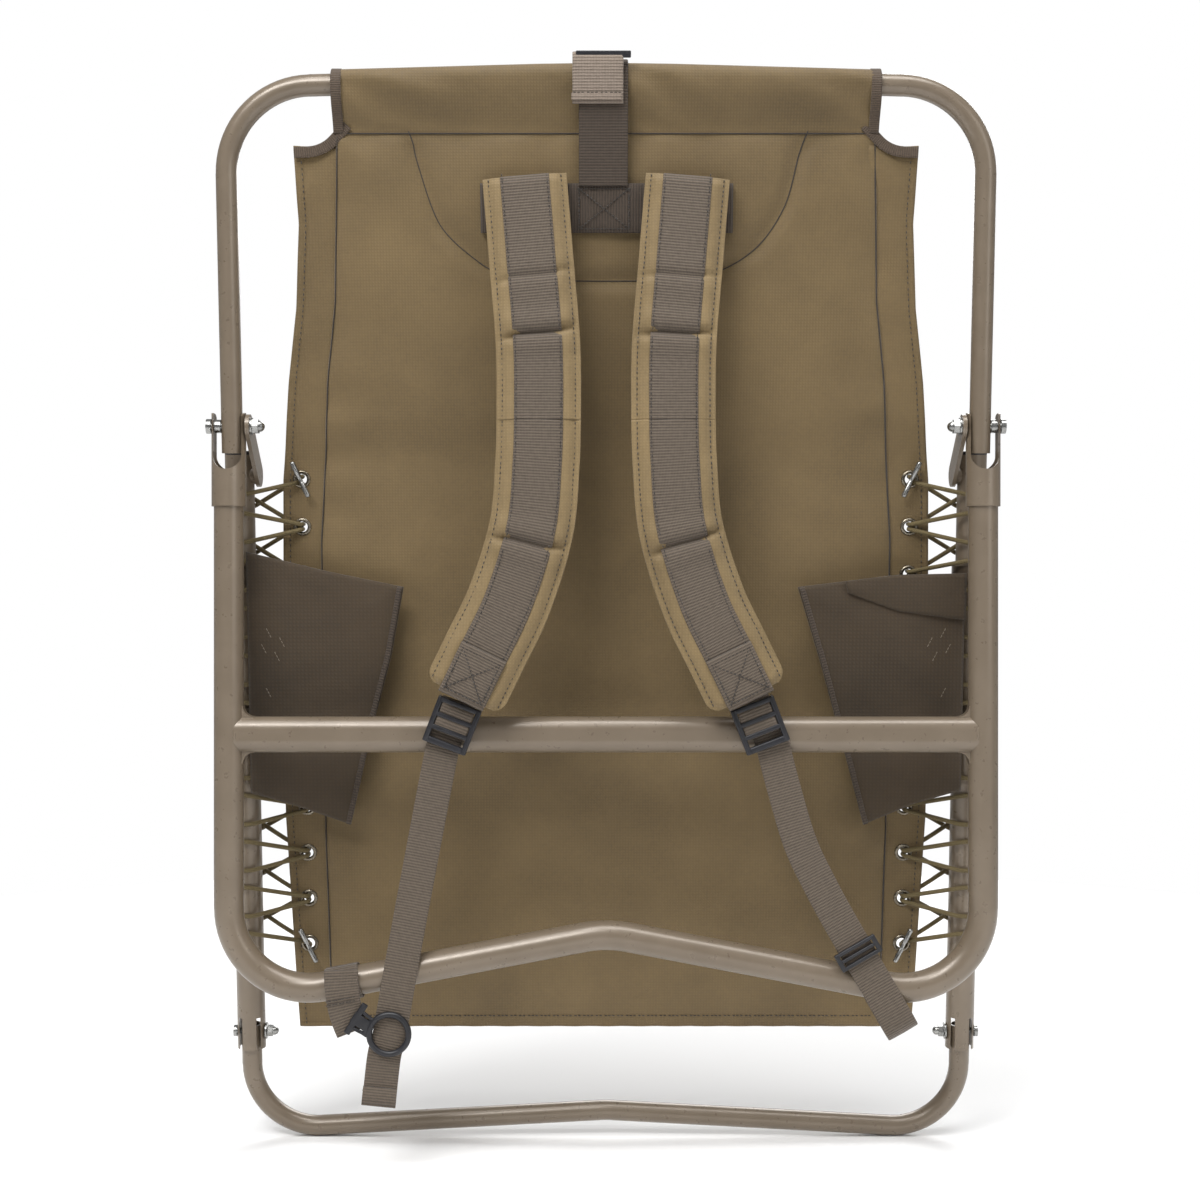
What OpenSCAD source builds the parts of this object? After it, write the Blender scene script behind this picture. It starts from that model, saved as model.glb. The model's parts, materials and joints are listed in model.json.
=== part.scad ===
// Folded low hunting chair with backpack straps.
// +X is to the right seen from behind, +Y is towards the sitter's side, +Z is up.
// The origin is at the middle of the footprint, on the floor.

/* [Frame layout] */
// Distance between the centre lines of the two side tubes
frame_w = 565.6; // [470:1:680]
// Length of a back rail from the foot pivot to the main pivot
rail_l = 481; // [400:1:580]
// Distance from a rail's centre line back to the main pivot
pivot_offset = 37; // [31:0.5:45]
// Lean of the back rails against the rear frame, in degrees
frame_tilt = 6.2; // [5:0.1:8]
// Drop from the main pivot to the rear frame's bottom bar
rear_drop = 421; // [350:1:505]
// Drop from the main pivot to the crossbar
crossbar_drop = 231; // [190:1:280]
// Rise from the main pivot to the ends of the top bar
head_rise = 249.5; // [208:0.5:300]
// Drop from the foot pivot to the foot bar
foot_drop = 78.5; // [66:0.5:95]

/* [Tubes] */
// Outside diameter of the rear frame and the back rails
main_tube_d = 22.2; // [19:0.1:26]
// Outside diameter of the head loop and the foot loop
light_tube_d = 15.9; // [13.5:0.1:17]
// Wall of every tube
tube_wall = 1.4; // [1.1:0.1:1.8]
// Bend radius of the rear frame's corners, at the centre line
rear_bend_r = 60; // [45:1:75]
// Bend radius of the head loop's corners
head_bend_r = 64; // [48:1:78]
// Bend radius of the foot loop's corners
foot_bend_r = 52; // [40:1:60]
// Slope of the rear frame's bottom bar, in degrees
rear_slope = 10.7; // [8:0.1:13]
// Slope of the foot bar, in degrees
foot_slope = 3.2; // [2.5:0.1:4]
// Slope of the arched top bar, in degrees
head_slope = 1.6; // [1:0.1:2.2]
// Bend radius in the middle of each sloped bar
apex_r = 90; // [70:1:110]
// Height of the flat-oval crossbar
crossbar_h = 27; // [22:0.5:32]
// Depth of the flat-oval crossbar
crossbar_t = 20; // [16:0.5:21.5]
// Radius of the weld fillets beside the crossbar
weld_r = 8; // [6:0.5:10]

/* [Main pivot] */
// Wall of the fork sleeves
sleeve_wall = 1.6; // [1.3:0.1:2]
// Distance from the main pivot down to the sleeve's lower edge
sleeve_drop = 60; // [50:1:72]
// Radius of the rounded ears above the pivot
ear_r = 10; // [8.5:0.1:12]
// Distance from the pivot to the end of the head loop's leg
leg_stub = 20; // [17:0.5:22]
// Diameter of the main pivot bolts
pivot_bolt_d = 6; // [5:0.1:7]
// Thickness of the hinge tab on each rail
tab_t = 3; // [2.5:0.1:3.6]

/* [Foot pivot] */
// Diameter of the foot pivot bolts
foot_bolt_d = 5; // [4.2:0.1:6]
// Width of the stop tongue behind the foot loop's leg
tongue_w = 11; // [9:0.5:13]
// Length of the fork below the foot pivot
fork_l = 13; // [11:0.5:15.5]

/* [Back panel] */
// Half width of the laced edge at the first eyelet
edge_w = 249; // [220:1:253]
// Half width of the padded middle
quilt_w = 221; // [185:1:226]
// Half width of the top sleeve
neck_w = 201; // [168:1:214]
// Thickness of the padded middle
quilt_t = 16; // [13:0.5:19]
// Thickness of the laced edge
edge_t = 2; // [1.6:0.1:2.4]
// Height of the top sleeve below the bar
sleeve_h = 35; // [29:1:42]
// Distance of the eyelets from the middle
eyelet_x = 235; // [231:0.5:240]
// Height of the last eyelet above the foot pivot
last_eyelet_v = 72; // [60:1:86]
// Number of eyelets on each side
eyelet_n = 11; // [9:1:11]
// Inside diameter of an eyelet
eyelet_d = 11; // [10.4:0.1:12]
// Diameter of the elastic lacing
cord_d = 3.5; // [3:0.1:3.8]

/* [Seat pad] */
// Half width of the seat pad
seat_w = 215; // [180:1:240]
// Depth of the seat pad from its hinge to its front edge
seat_l = 400; // [335:1:440]
// Thickness of the seat pad
seat_t = 30; // [25:1:36]

/* [Straps] */
// Width of the shoulder pads
pad_w = 62; // [52:1:74]
// Thickness of the shoulder pads
pad_t = 12; // [10:0.5:14]
// Width of the adjusting webbing
web_w = 25; // [21:0.5:28]
// Thickness of all webbing
web_t = 1.8; // [1.5:0.1:2.2]
// Width of the anchor and handle webbing
band_w = 36; // [30:1:43]

/* [Hidden] */
$fn = 48;

steel_color = "#8a7c69";
tan_color = "#80704b";
web_color = "#6e6055";
pocket_color = "#50443a";
black_color = "#202024";
cord_color = "#5f5537";
zinc_color = "#b9bcbd";

side_x = frame_w / 2;
main_r = main_tube_d / 2;
light_r = light_tube_d / 2;
gap = 0.3;                 // clearance between pieces that only lie near each other
pin_gap = 0.05;            // radial clearance of the hinge bolts
slip = 0.1;                // clearance of a pressed or sliding seat
seat_low_v = 8;            // lower edge of the seat pad above the foot pivot
bend_draw = 0.1;           // how much slimmer a bend is than the straights
bend_tuck = 0.5;           // how far a bend's ends reach into the straights

// Layers of the back panel, the seat pad and the straps
seat_back = quilt_t / 2 + 3;
seat_front = seat_back + seat_t;
band_back = quilt_t / 2 + gap + web_t;
sleeve_cavity_r = light_r + 1.2;
sleeve_cloth = 1.2;         // thickness of the top sleeve's cloth
bar_arch = (side_x - head_bend_r) * tan(head_slope);
handle_back = max(sleeve_cavity_r + sleeve_cloth + 0.4, band_back + gap);
handle_top = bar_arch + sleeve_cavity_r + sleeve_cloth + 0.4;
flap_top_v = handle_top + web_t + gap;  // top of the handle's folded flap
flap_t = 3.2;               // thickness of the handle's folded flap
buckle_h = 4;               // height of the buckle edge above the flap
anchor_v = -70;             // upper edge of the anchor band below the top bar

// The eyelets and the two ends of the back panel, along the rails
hem_v = 3;                  // lower hem above the foot pivot
panel_top_v = rail_l - 16;
first_eyelet_v = rail_l - 41;
eyelet_pitch = (first_eyelet_v - last_eyelet_v) / (eyelet_n - 1);

// Places of the foot pivot, the top bar and the first eyelet, measured from the main pivot
foot_rel = [rail_l * sin(frame_tilt) + pivot_offset * cos(frame_tilt),
    pivot_offset * sin(frame_tilt) - rail_l * cos(frame_tilt)];
bar_rel = head_rise * [-sin(frame_tilt), cos(frame_tilt)];
eyelet_rel = foot_rel + first_eyelet_v * [-sin(frame_tilt), cos(frame_tilt)];
panel_tilt = atan2(eyelet_rel.x - bar_rel.x, bar_rel.y - eyelet_rel.y);

// Places in the part's own frame
rear_reach = -bar_rel.x + (handle_back + web_t + flap_t) * cos(panel_tilt)
    + (flap_top_v + gap + buckle_h) * sin(panel_tilt);
front_reach = foot_rel.x + seat_front * cos(frame_tilt) - seat_low_v * sin(frame_tilt);
plane_y = (rear_reach - front_reach) / 2;
foot_y = plane_y + foot_rel.x;
foot_z = foot_drop * cos(frame_tilt) + light_r;
pivot_z = foot_z - foot_rel.y;

// Fork sleeves and the stack of the main pivot, measured from the side tube's centre line
sleeve_in_r = main_r + slip;
sleeve_r = sleeve_in_r + sleeve_wall;
notch_r = sleeve_in_r - 0.6;
leg_shift = notch_r - gap - light_r;
leg_x = side_x - leg_shift;
tab_in = sleeve_r + 0.5;
nut_h = 9;
nut_flats = 10;            // across the flats of a main pivot nut
foot_nut_flats = 8;
washer_t = 1.5;
washer_r = 6.5;
head_t = 3.5;              // height of the main pivot bolt's head
head_r = 5.5;
foot_head_t = 2.5;
foot_head_r = 4.5;
spacer_r = 5;
thread_past = 6;           // how far a bolt runs past its washer, into the nut
notch_drop = 22;           // depth of the fork's notch below the pivot
sleeve_seat = 22;          // how far the side tube reaches up into its sleeve
rail_top_v = rail_l - 22;  // open top of a rail, under its plug
tab_drop = 38;             // distance from the pivot down the rail to the tab's lower end
tab_r = 9;
fork_half = light_r + 0.45;
fork_slot = 16;            // height of the fork's slot above the foot pivot
leg_top_v = 5.5;           // end of the foot loop's leg above the foot pivot
plug_l = 10;

// Strap layers, measured back from the rear frame's plane
web_y = max(main_r, crossbar_t / 2) + 0.6;
lock_y = web_y + web_t + gap;
pad_y = band_back / cos(panel_tilt) - bar_rel.x + anchor_v * tan(panel_tilt) + gap;

module at_main_pivot() translate([0, plane_y, pivot_z]) children();
module at_head() at_main_pivot() rotate([frame_tilt, 0, 0]) children();
module at_foot() translate([0, foot_y, foot_z]) rotate([frame_tilt, 0, 0]) children();
module at_bar() at_main_pivot() translate([0, bar_rel.x, bar_rel.y]) rotate([panel_tilt, 0, 0]) children();
module at_forks() at_main_pivot() both_sides() translate([-side_x, 0, 0]) children();
module at_rails() at_foot() both_sides() translate([-side_x, 0, 0]) children();
module both_sides() for (s = [0, 1]) mirror([s, 0, 0]) children();
module along_x(x0, x1) translate([x0, 0, 0]) rotate([90, 0, 90]) linear_extrude(x1 - x0) children();
module facing_y(y0, t) translate([0, y0 + t, 0]) rotate([90, 0, 0]) linear_extrude(t) children();

module ring(r, bore_r) difference() { circle(r); circle(bore_r); }

// Straight tube between two points of the XZ plane
module straight_tube(a, b, r, wall) {
    d = b - a;
    translate([a.x, 0, a.y]) rotate([0, atan2(d.x, d.y), 0])
        linear_extrude(norm(d)) ring(r, r - wall);
}

// Bent tube about a centre in the XZ plane. A drawn bend is a touch slimmer than the straights,
// and its ends tuck a little way into them.
module bent_tube(c, bend_r, a0, turn, r, wall) {
    tuck = bend_tuck / bend_r * 180 / PI;
    translate([c.x, 0, c.y]) rotate([90, 0, 0]) rotate([0, 0, a0 - tuck])
        rotate_extrude(angle = turn + 2 * tuck, $fn = 96) translate([bend_r, 0])
            ring(r - bend_draw, r - wall + bend_draw);
}

// U loop in the XZ plane: two legs, two corners and a bar that slopes up to a bend in the middle
module u_loop(half_w, leg_top, low, bend_r, slope, r, wall) {
    corner = [bend_r - half_w, low + bend_r];
    bar_start = corner + bend_r * [sin(slope), -cos(slope)];
    bend_x = -apex_r * sin(abs(slope));
    bar_end = [bend_x, bar_start.y + (bend_x - bar_start.x) * tan(slope)];
    up = slope > 0 ? 1 : -1;
    both_sides() {
        straight_tube([-half_w, corner.y], [-half_w, leg_top], r, wall);
        bent_tube(corner, bend_r, 180, 90 + slope, r, wall);
        straight_tube(bar_start, bar_end, r, wall);
    }
    bent_tube([0, bar_end.y - up * apex_r * cos(slope)], apex_r,
        up * 90 - abs(slope), 2 * abs(slope), r, wall);
}

module stadium(w, h) {
    square([w, h - w], center = true);
    for (s = [-1, 1]) translate([0, s * (h - w) / 2]) circle(w / 2);
}

// Outline of a band of the given width along a list of points
function unit(v) = v / norm(v);
function heading(p, i) = unit(p[min(i + 1, len(p) - 1)] - p[max(i - 1, 0)]);
function beside(p, i, d) = p[i] + d * [-heading(p, i).y, heading(p, i).x];
module band(p, w)
    polygon([for (i = [0 : len(p) - 1]) beside(p, i, w / 2),
        for (i = [len(p) - 1 : -1 : 0]) beside(p, i, -w / 2)]);

module rear_tube() color(steel_color) at_main_pivot() {
    inner_r = main_r - tube_wall;
    difference() {
        union() {
            u_loop(side_x, sleeve_seat - sleeve_drop, -rear_drop, rear_bend_r, rear_slope, main_r, tube_wall);
            translate([0, 0, -crossbar_drop]) difference() {
                along_x(-side_x, side_x) stadium(crossbar_t, crossbar_h);
                along_x(-side_x, side_x)
                    stadium(crossbar_t - 2 * tube_wall, crossbar_h - 2 * tube_wall);
            }
            both_sides() weld_fillets();
        }
        both_sides() translate([-side_x, 0, -crossbar_drop]) cylinder(r = inner_r, h = 60, center = true);
    }
}
module weld_fillets()
    for (s = [-1, 1]) translate([-side_x + main_r - 1, 0, -crossbar_drop + s * (crossbar_h / 2 - 1)])
        mirror([0, 0, s < 0 ? 1 : 0]) facing_y(-4, 8) difference() {
            square(weld_r + 1);
            translate([weld_r + 1, weld_r + 1]) circle(weld_r);
        }

module fork_sleeves() color(steel_color) at_forks() difference() {
    translate([0, 0, -sleeve_drop]) cylinder(r = sleeve_r, h = sleeve_drop + ear_r);
    translate([0, 0, -sleeve_drop - 1]) cylinder(r = sleeve_in_r, h = sleeve_drop + ear_r + 2);
    translate([0, 0, -notch_drop]) rotate([90, 0, 0]) cylinder(r = notch_r, h = 60, center = true);
    translate([-notch_r, -30, -notch_drop]) cube([2 * notch_r, 60, notch_drop + ear_r + 1]);
    difference() {
        translate([-30, -30, 0]) cube([60, 60, ear_r + 1]);
        along_x(-31, 31) circle(ear_r);
    }
    along_x(-30, 30) circle(pivot_bolt_d / 2 + pin_gap);
}

module pivot_bolts() color(zinc_color) at_forks() {
    along_x(-sleeve_r - gap - head_t, -sleeve_r - gap) circle(head_r);
    along_x(-sleeve_r - gap, tab_in + tab_t + washer_t + thread_past) circle(pivot_bolt_d / 2);
}

module pivot_spacers() color(zinc_color) at_forks()
    along_x(slip - sqrt(pow(sleeve_in_r, 2) - pow(spacer_r, 2)), leg_shift - light_r - slip)
        ring(spacer_r, pivot_bolt_d / 2 + pin_gap);

module pivot_washers() color(zinc_color) at_forks()
    along_x(tab_in + tab_t + slip, tab_in + tab_t + washer_t) ring(washer_r, pivot_bolt_d / 2 + slip);

module pivot_nuts() color(zinc_color) at_forks()
    translate([tab_in + tab_t + washer_t + slip, 0, 0]) acorn_nut(nut_flats, nut_h, pivot_bolt_d / 2 + slip);

// Domed nut along +X, with a blind hole
module acorn_nut(flats, h, bore_r) difference() {
    dome_r = flats * 0.42;
    union() {
        along_x(0, h * 0.5) circle(flats / sqrt(3), $fn = 6);
        along_x(h * 0.4, h - dome_r) circle(dome_r);
        translate([h - dome_r, 0, 0]) sphere(dome_r);
    }
    along_x(-1, h * 0.7) circle(bore_r);
}

module back_rails() color(steel_color) at_rails() difference() {
    union() {
        translate([0, 0, -fork_l]) cylinder(r = main_r, h = rail_top_v + fork_l);
        along_x(5, tab_in + slip) translate([0, rail_l - tab_drop]) circle(tab_r - 2);
        along_x(tab_in, tab_in + tab_t) {
            tab_line = [[-pivot_offset, rail_l], [0, rail_l - tab_drop]];
            band(tab_line, 2 * tab_r);
            for (p = tab_line) translate(p) circle(tab_r);
        }
    }
    translate([0, 0, -fork_l - 1]) cylinder(r = main_r - tube_wall, h = rail_top_v + fork_l + 2);
    translate([-fork_half, 0, -fork_l - 1]) cube([2 * fork_half, 20, fork_l + fork_slot]);
    translate([0, 0, -fork_l - 1]) cylinder(r = min(fork_half, main_r - 1), h = fork_l + fork_slot - 1);
    for (s = [0, 1]) mirror([s, 0, 0])
        translate([tongue_w / 2, -20, -fork_l - 1])
            cube([fork_half - tongue_w / 2, 20.5, fork_l + fork_slot - 2]);
    along_x(-20, 20) circle(foot_bolt_d / 2 + pin_gap);
    translate([0, -pivot_offset, rail_l]) along_x(0, 40) circle(pivot_bolt_d / 2 + pin_gap);
}

module rail_plugs() color(black_color) at_rails() translate([0, 0, rail_top_v]) {
    translate([0, 0, slip]) cylinder(r = main_r, h = 2.5);
    translate([0, 0, -plug_l]) cylinder(r = main_r - tube_wall - slip, h = plug_l + slip);
}

module foot_bolts() color(zinc_color) at_rails() {
    along_x(-main_r - gap - foot_head_t, -main_r - gap) circle(foot_head_r);
    along_x(-main_r - gap, main_r + washer_t + thread_past) circle(foot_bolt_d / 2);
}

module foot_washers() color(zinc_color) at_rails()
    along_x(main_r + gap, main_r + washer_t) ring(washer_r, foot_bolt_d / 2 + slip);

module foot_nuts() color(zinc_color) at_rails()
    translate([main_r + washer_t + slip, 0, 0]) acorn_nut(foot_nut_flats, nut_h, foot_bolt_d / 2 + slip);

module head_tube() color(steel_color) at_head() difference() {
    mirror([0, 0, 1])
        u_loop(leg_x, leg_stub, -head_rise, head_bend_r, -head_slope, light_r, tube_wall);
    along_x(-side_x - 30, side_x + 30) circle(pivot_bolt_d / 2 + pin_gap);
}

module foot_tube() color(steel_color) at_foot() difference() {
    u_loop(side_x, leg_top_v, -foot_drop, foot_bend_r, foot_slope, light_r, tube_wall);
    along_x(-side_x - 30, side_x + 30) circle(foot_bolt_d / 2 + pin_gap);
}

// Symmetric outline from a list of [half width, height] points
module outline(p) polygon([for (q = p) q, for (i = [len(p) - 1 : -1 : 0]) [-p[i].x, p[i].y]]);

function eyelet_v(i) = first_eyelet_v - i * eyelet_pitch;
hole_r = eyelet_d / 2 + 0.7;

module back_panel() color(tan_color) at_foot() difference() {
    mid_v = (first_eyelet_v + last_eyelet_v) / 2;
    union() {
        facing_y(-edge_t / 2, edge_t) outline([[edge_w - 2, panel_top_v], [edge_w, first_eyelet_v],
            [edge_w + 3, mid_v], [edge_w - 6, hem_v]]);
        facing_y(-quilt_t / 2, quilt_t)
            outline([[quilt_w - 2, panel_top_v], [quilt_w, mid_v], [quilt_w - 3, hem_v + 12]]);
    }
    both_sides() for (i = [0 : eyelet_n - 1])
        translate([-eyelet_x, 0, eyelet_v(i)]) rotate([90, 0, 0]) cylinder(r = hole_r, h = 9, center = true);
}

module eyelets() color(zinc_color) at_foot() both_sides() for (i = [0 : eyelet_n - 1])
    translate([-eyelet_x, 0, eyelet_v(i)]) rotate([90, 0, 0]) rotate_extrude() {
        translate([eyelet_d / 2, -edge_t / 2 - 0.7]) square([0.6, edge_t + 1.4]);
        for (s = [-1, 1]) translate([eyelet_d / 2, s * (edge_t / 2 + 0.4) - 0.3]) square([2.2, 0.6]);
    }

// Lacing: one pass winds down through the eyelets and round the rail, the other winds up.
// Points are [distance from the middle, front to back, along the rail].
wrap_r = (main_r + cord_d / 2 + 0.15) / cos(28);
hole_step = cord_d / 2 + 0.15;
function wrapped(a, r, v) = [side_x - r * cos(a), r * sin(a), v];
function down_stitch(i, far) = let (v = eyelet_v(i), w = v - 0.35 * eyelet_pitch) concat(
    i == 0 ? [] : [[eyelet_x, 3.4 + far, v - hole_step]],
    [[eyelet_x, -3.8, v - hole_step]],
    i == eyelet_n - 1 ? [] : [for (k = [2 : -1 : -2])
            wrapped(180 + 56 * k, wrap_r + (k == -2 ? far : 0), w + 0.8 * k),
        [(eyelet_x + side_x) / 2, 7.2 + far * 1.5, w - 0.32 * eyelet_pitch]]);
function down_route(far) = [for (i = [0 : eyelet_n - 1]) each down_stitch(i, far)];
function turned(p) = [for (q = p) [q.x, q.y, first_eyelet_v + last_eyelet_v - q.z]];

function frame_at(p, i) = let (d = unit(p[min(i + 1, len(p) - 1)] - p[max(i - 1, 0)]),
    side = unit(cross(d, [0.3, 0.2, 1]))) [side, cross(d, side)];
module swept(p, r, sides = 8) {
    n = len(p);
    points = [for (i = [0 : n - 1]) let (f = frame_at(p, i)) for (k = [0 : sides - 1])
        p[i] + r * (cos(k * 360 / sides) * f[0] + sin(k * 360 / sides) * f[1])];
    walls = [for (i = [0 : n - 2]) for (k = [0 : sides - 1]) let (m = (k + 1) % sides)
        each [[i * sides + k, i * sides + m, (i + 1) * sides + k],
            [i * sides + m, (i + 1) * sides + m, (i + 1) * sides + k]]];
    ends = [[for (k = [sides - 1 : -1 : 0]) k], [for (k = [0 : sides - 1]) (n - 1) * sides + k]];
    polyhedron(points, concat(walls, ends));
}
module lacing(route) color(cord_color) at_foot() swept(route, cord_d / 2);
module lacing_left_down() mirror([1, 0, 0]) lacing(down_route(0));
module lacing_left_up() mirror([1, 0, 0]) lacing(turned(down_route(cord_d + gap)));
module lacing_right_down() lacing(down_route(0));
module lacing_right_up() lacing(turned(down_route(cord_d + gap)));

pin_r = 2;
module toggle_pins() color(zinc_color) at_foot() both_sides() for (i = [0, eyelet_n - 1])
    translate([-eyelet_x, -6.1 - cord_d / 2, eyelet_v(i)]) rotate([0, 25, 0])
        cylinder(r = pin_r, h = 30, center = true);

// Gear pocket: a flat pouch hung on a rail by two cloth loops, beside the eyelets that loops names.
// Its outline is measured from the rail, at the height of the first of them.
pocket_back = wrap_r + cord_d / 2 + 1.5;
pocket_t = 9;              // thickness of a pocket
loop_r = main_r + gap;
loop_h = 14;               // height of a pocket's cloth loop
module pocket(p, loops) color(pocket_color) at_foot() difference() {
    union() {
        translate([-side_x, 0, eyelet_v(loops[0])]) facing_y(-pocket_back - pocket_t, pocket_t) polygon(p);
        for (i = loops) translate([-side_x, 0, eyelet_v(i)]) {
            cylinder(r = loop_r + web_t, h = loop_h, center = true);
            translate([0, -pocket_back - 1, -loop_h / 2]) cube([20, pocket_back - loop_r + 1, loop_h]);
        }
    }
    translate([-side_x, 0, 0]) cylinder(r = loop_r, h = rail_l);
}
module pocket_left()
    pocket([[15, 18], [128, -8], [118, -61], [103, -116], [85, -193], [45, -179], [15, -170]], [2, 5]);
module pocket_right() mirror([1, 0, 0])
    pocket([[15, 2], [63, 1], [136, -8], [118, -66], [83, -193], [45, -177], [15, -168]], [2, 5]);

// Half of the top edge's outline, from the sleeve's end round the neck cut-out
neck = [[neck_w, -sleeve_h + 2], [neck_w + 4, -sleeve_h - 6], [neck_w + 14, -sleeve_h - 11],
    [edge_w - 14, -sleeve_h - 14]];
head_low_v = -(bar_rel.y - 20) / cos(panel_tilt);
module head_panel() color(tan_color) at_bar() {
    difference() {
        along_x(-neck_w, neck_w) union() {
            outline([[sleeve_cavity_r + sleeve_cloth, bar_arch], [sleeve_cavity_r + sleeve_cloth, 0],
                [1.5, -sleeve_h]]);
            translate([0, bar_arch]) circle(sleeve_cavity_r + sleeve_cloth);
        }
        along_x(-neck_w - 1, neck_w + 1) {
            for (v = [0, bar_arch]) translate([0, v]) circle(sleeve_cavity_r);
            translate([-sleeve_cavity_r, 0]) square([2 * sleeve_cavity_r, bar_arch]);
        }
    }
    facing_y(-edge_t / 2, edge_t)
        outline(concat(neck, [[edge_w - 19, -sleeve_h - 69], [edge_w - 8, head_low_v]]));
    facing_y(-quilt_t / 2, quilt_t)
        outline([[neck_w - 3, -sleeve_h - 5], [quilt_w - 2, head_low_v]]);
}

module anchor_band() color(web_color) at_bar()
    facing_y(-band_back, web_t) translate([-92, anchor_v - band_w]) square([186, band_w]);

// Centre line of the right shoulder pad, measured from the main pivot
upper_pad = [[60, 181], [50, 57], [49.5, 21]];
lower_pad = [[49.5, -19], [55, -78], [71, -130], [89, -168], [105, -201]];
module pad_strip(p) color(tan_color) at_main_pivot() both_sides()
    facing_y(-pad_y - pad_t, pad_t) band(p, pad_w);
module shoulder_pads_upper() pad_strip(upper_pad);
module shoulder_pads_lower() {
    pad_strip(lower_pad);
    color(web_color) at_main_pivot() both_sides()
        facing_y(-pad_y - 3, 3) band([[104, -198], [109, -212]], web_w);
}

lock_tilt = 21;            // lean of the ladder locks, along the straps
module ladder_locks() color(black_color) at_main_pivot() both_sides()
    translate([-114, -pad_y + gap, -223]) rotate([0, lock_tilt, 0]) difference() {
        translate([-17, 0, -18]) cube([34, pad_y - lock_y - gap, 36]);
        for (v = [-12, 1]) translate([-13, -1, v]) cube([26, 30, 9]);
    }

module webbing_left() color(web_color) at_main_pivot() facing_y(-web_y - web_t, web_t)
    band([[-109, -205], [-122, -243], [-135, -310], [-149, -385], [-161, -453], [-165, -470], [-169, -506]],
        web_w);

// Height of the sloped bottom bar's centre line, measured from the main pivot
function bar_z(x) = -rear_drop + rear_bend_r * (1 - cos(rear_slope))
    + (side_x - rear_bend_r * (1 + sin(rear_slope)) - abs(x)) * tan(rear_slope);

// The right webbing ends in a loop round the bottom bar
loop_at = [187, bar_z(187) + 23];
loop_tilt = 30;
loop_drop = 72;
module webbing_right() color(web_color) at_main_pivot() {
    facing_y(-web_y - web_t, web_t) band([[109, -205], [122, -232], [144, -310], [158, -340], loop_at], web_w);
    translate([loop_at.x, 0, loop_at.y]) rotate([0, -loop_tilt, 0]) difference() {
        translate([-web_w / 2, -web_y - web_t, -loop_drop])
            cube([web_w, 2 * (web_y + web_t), loop_drop + 6]);
        translate([-web_w, -web_y, web_t - loop_drop]) cube([2 * web_w, 2 * web_y, loop_drop + 6 - 2 * web_t]);
    }
}

triglide_t = 3.5;
module triglide() color(black_color) at_main_pivot()
    translate([loop_at.x, -lock_y - triglide_t, loop_at.y]) rotate([0, -loop_tilt, 0]) difference() {
        translate([-17, 0, -7]) cube([34, triglide_t, 14]);
        for (v = [-5, 1]) translate([-13, -1, v]) cube([26, 6, 4]);
    }

hook_x = -196;
hook_z = bar_z(hook_x);
module hook_loop() color(web_color) at_main_pivot() translate([hook_x, 0, hook_z]) {
    rotate([0, -rear_slope, 0]) along_x(-web_w / 2, web_w / 2) ring(web_y + web_t, web_y);
    facing_y(-web_y - web_t + 0.3, web_t - 0.6) band([[0, 0], [3, -20], [8, -34]], web_w);
}

ring_at = [-161, -452];
ring_r = 15;
wire_r = 2.4;
module strap_hook() color(black_color) at_main_pivot() {
    translate([ring_at.x, -lock_y - wire_r, ring_at.y]) rotate([90, 0, 0])
        rotate_extrude() translate([ring_r, 0]) circle(wire_r);
    facing_y(-lock_y - 4, 4) band([[hook_x + 8, hook_z - 22], [ring_at.x - 13, ring_at.y + 4]], 18);
}

handle_x = -2;
module carry_handle() color(web_color) at_bar() translate([handle_x, 0, 0]) {
    facing_y(-handle_back - web_t, web_t) translate([-band_w / 2, anchor_v - band_w])
        square([band_w, handle_top + web_t - anchor_v + band_w]);
    translate([-band_w / 2, -handle_back - web_t, handle_top]) cube([band_w, 2 * (handle_back + web_t), web_t]);
    facing_y(handle_back, web_t) translate([-band_w / 2, -30]) square([band_w, 30 + handle_top + web_t]);
    facing_y(-handle_back - web_t - flap_t, flap_t) translate([-band_w / 2, -14])
        square([band_w, 14 + flap_top_v]);
}

module handle_buckle() color(black_color) at_bar() translate([handle_x, 0, flap_top_v + gap])
    translate([-band_w / 2 - 2, -handle_back - web_t - flap_t, 0]) cube([band_w + 4, 6, buckle_h]);

module rounded_panel(half_w, low, high, r) {
    for (x = [-1, 1], v = [low + r, high - r]) translate([x * (half_w - r), v]) circle(r);
    translate([-half_w + r, low]) square([2 * (half_w - r), high - low]);
    translate([-half_w, low + r]) square([2 * half_w, high - low - 2 * r]);
}
module seat_pad() color(tan_color) at_foot()
    facing_y(seat_back, seat_t) rounded_panel(seat_w, seat_low_v, seat_low_v + seat_l, 25);
module seat_hinge_web() color(web_color) at_foot() both_sides()
    facing_y(quilt_t / 2 + gap, web_t) translate([-150 - band_w / 2, 5]) square([band_w, 60]);

back_rails();
rail_plugs();
pivot_bolts();
pivot_spacers();
pivot_washers();
pivot_nuts();
foot_bolts();
foot_washers();
foot_nuts();
back_panel();
eyelets();
lacing_left_down();
lacing_left_up();
lacing_right_down();
lacing_right_up();
toggle_pins();
pocket_left();
pocket_right();
rear_tube();
fork_sleeves();
shoulder_pads_lower();
ladder_locks();
webbing_left();
webbing_right();
hook_loop();
strap_hook();
triglide();
head_tube();
head_panel();
anchor_band();
shoulder_pads_upper();
carry_handle();
handle_buckle();
foot_tube();
seat_pad();
seat_hinge_web();
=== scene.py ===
import json
import math

import bmesh
import bpy
import numpy as np
from mathutils import Matrix, Vector

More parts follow.
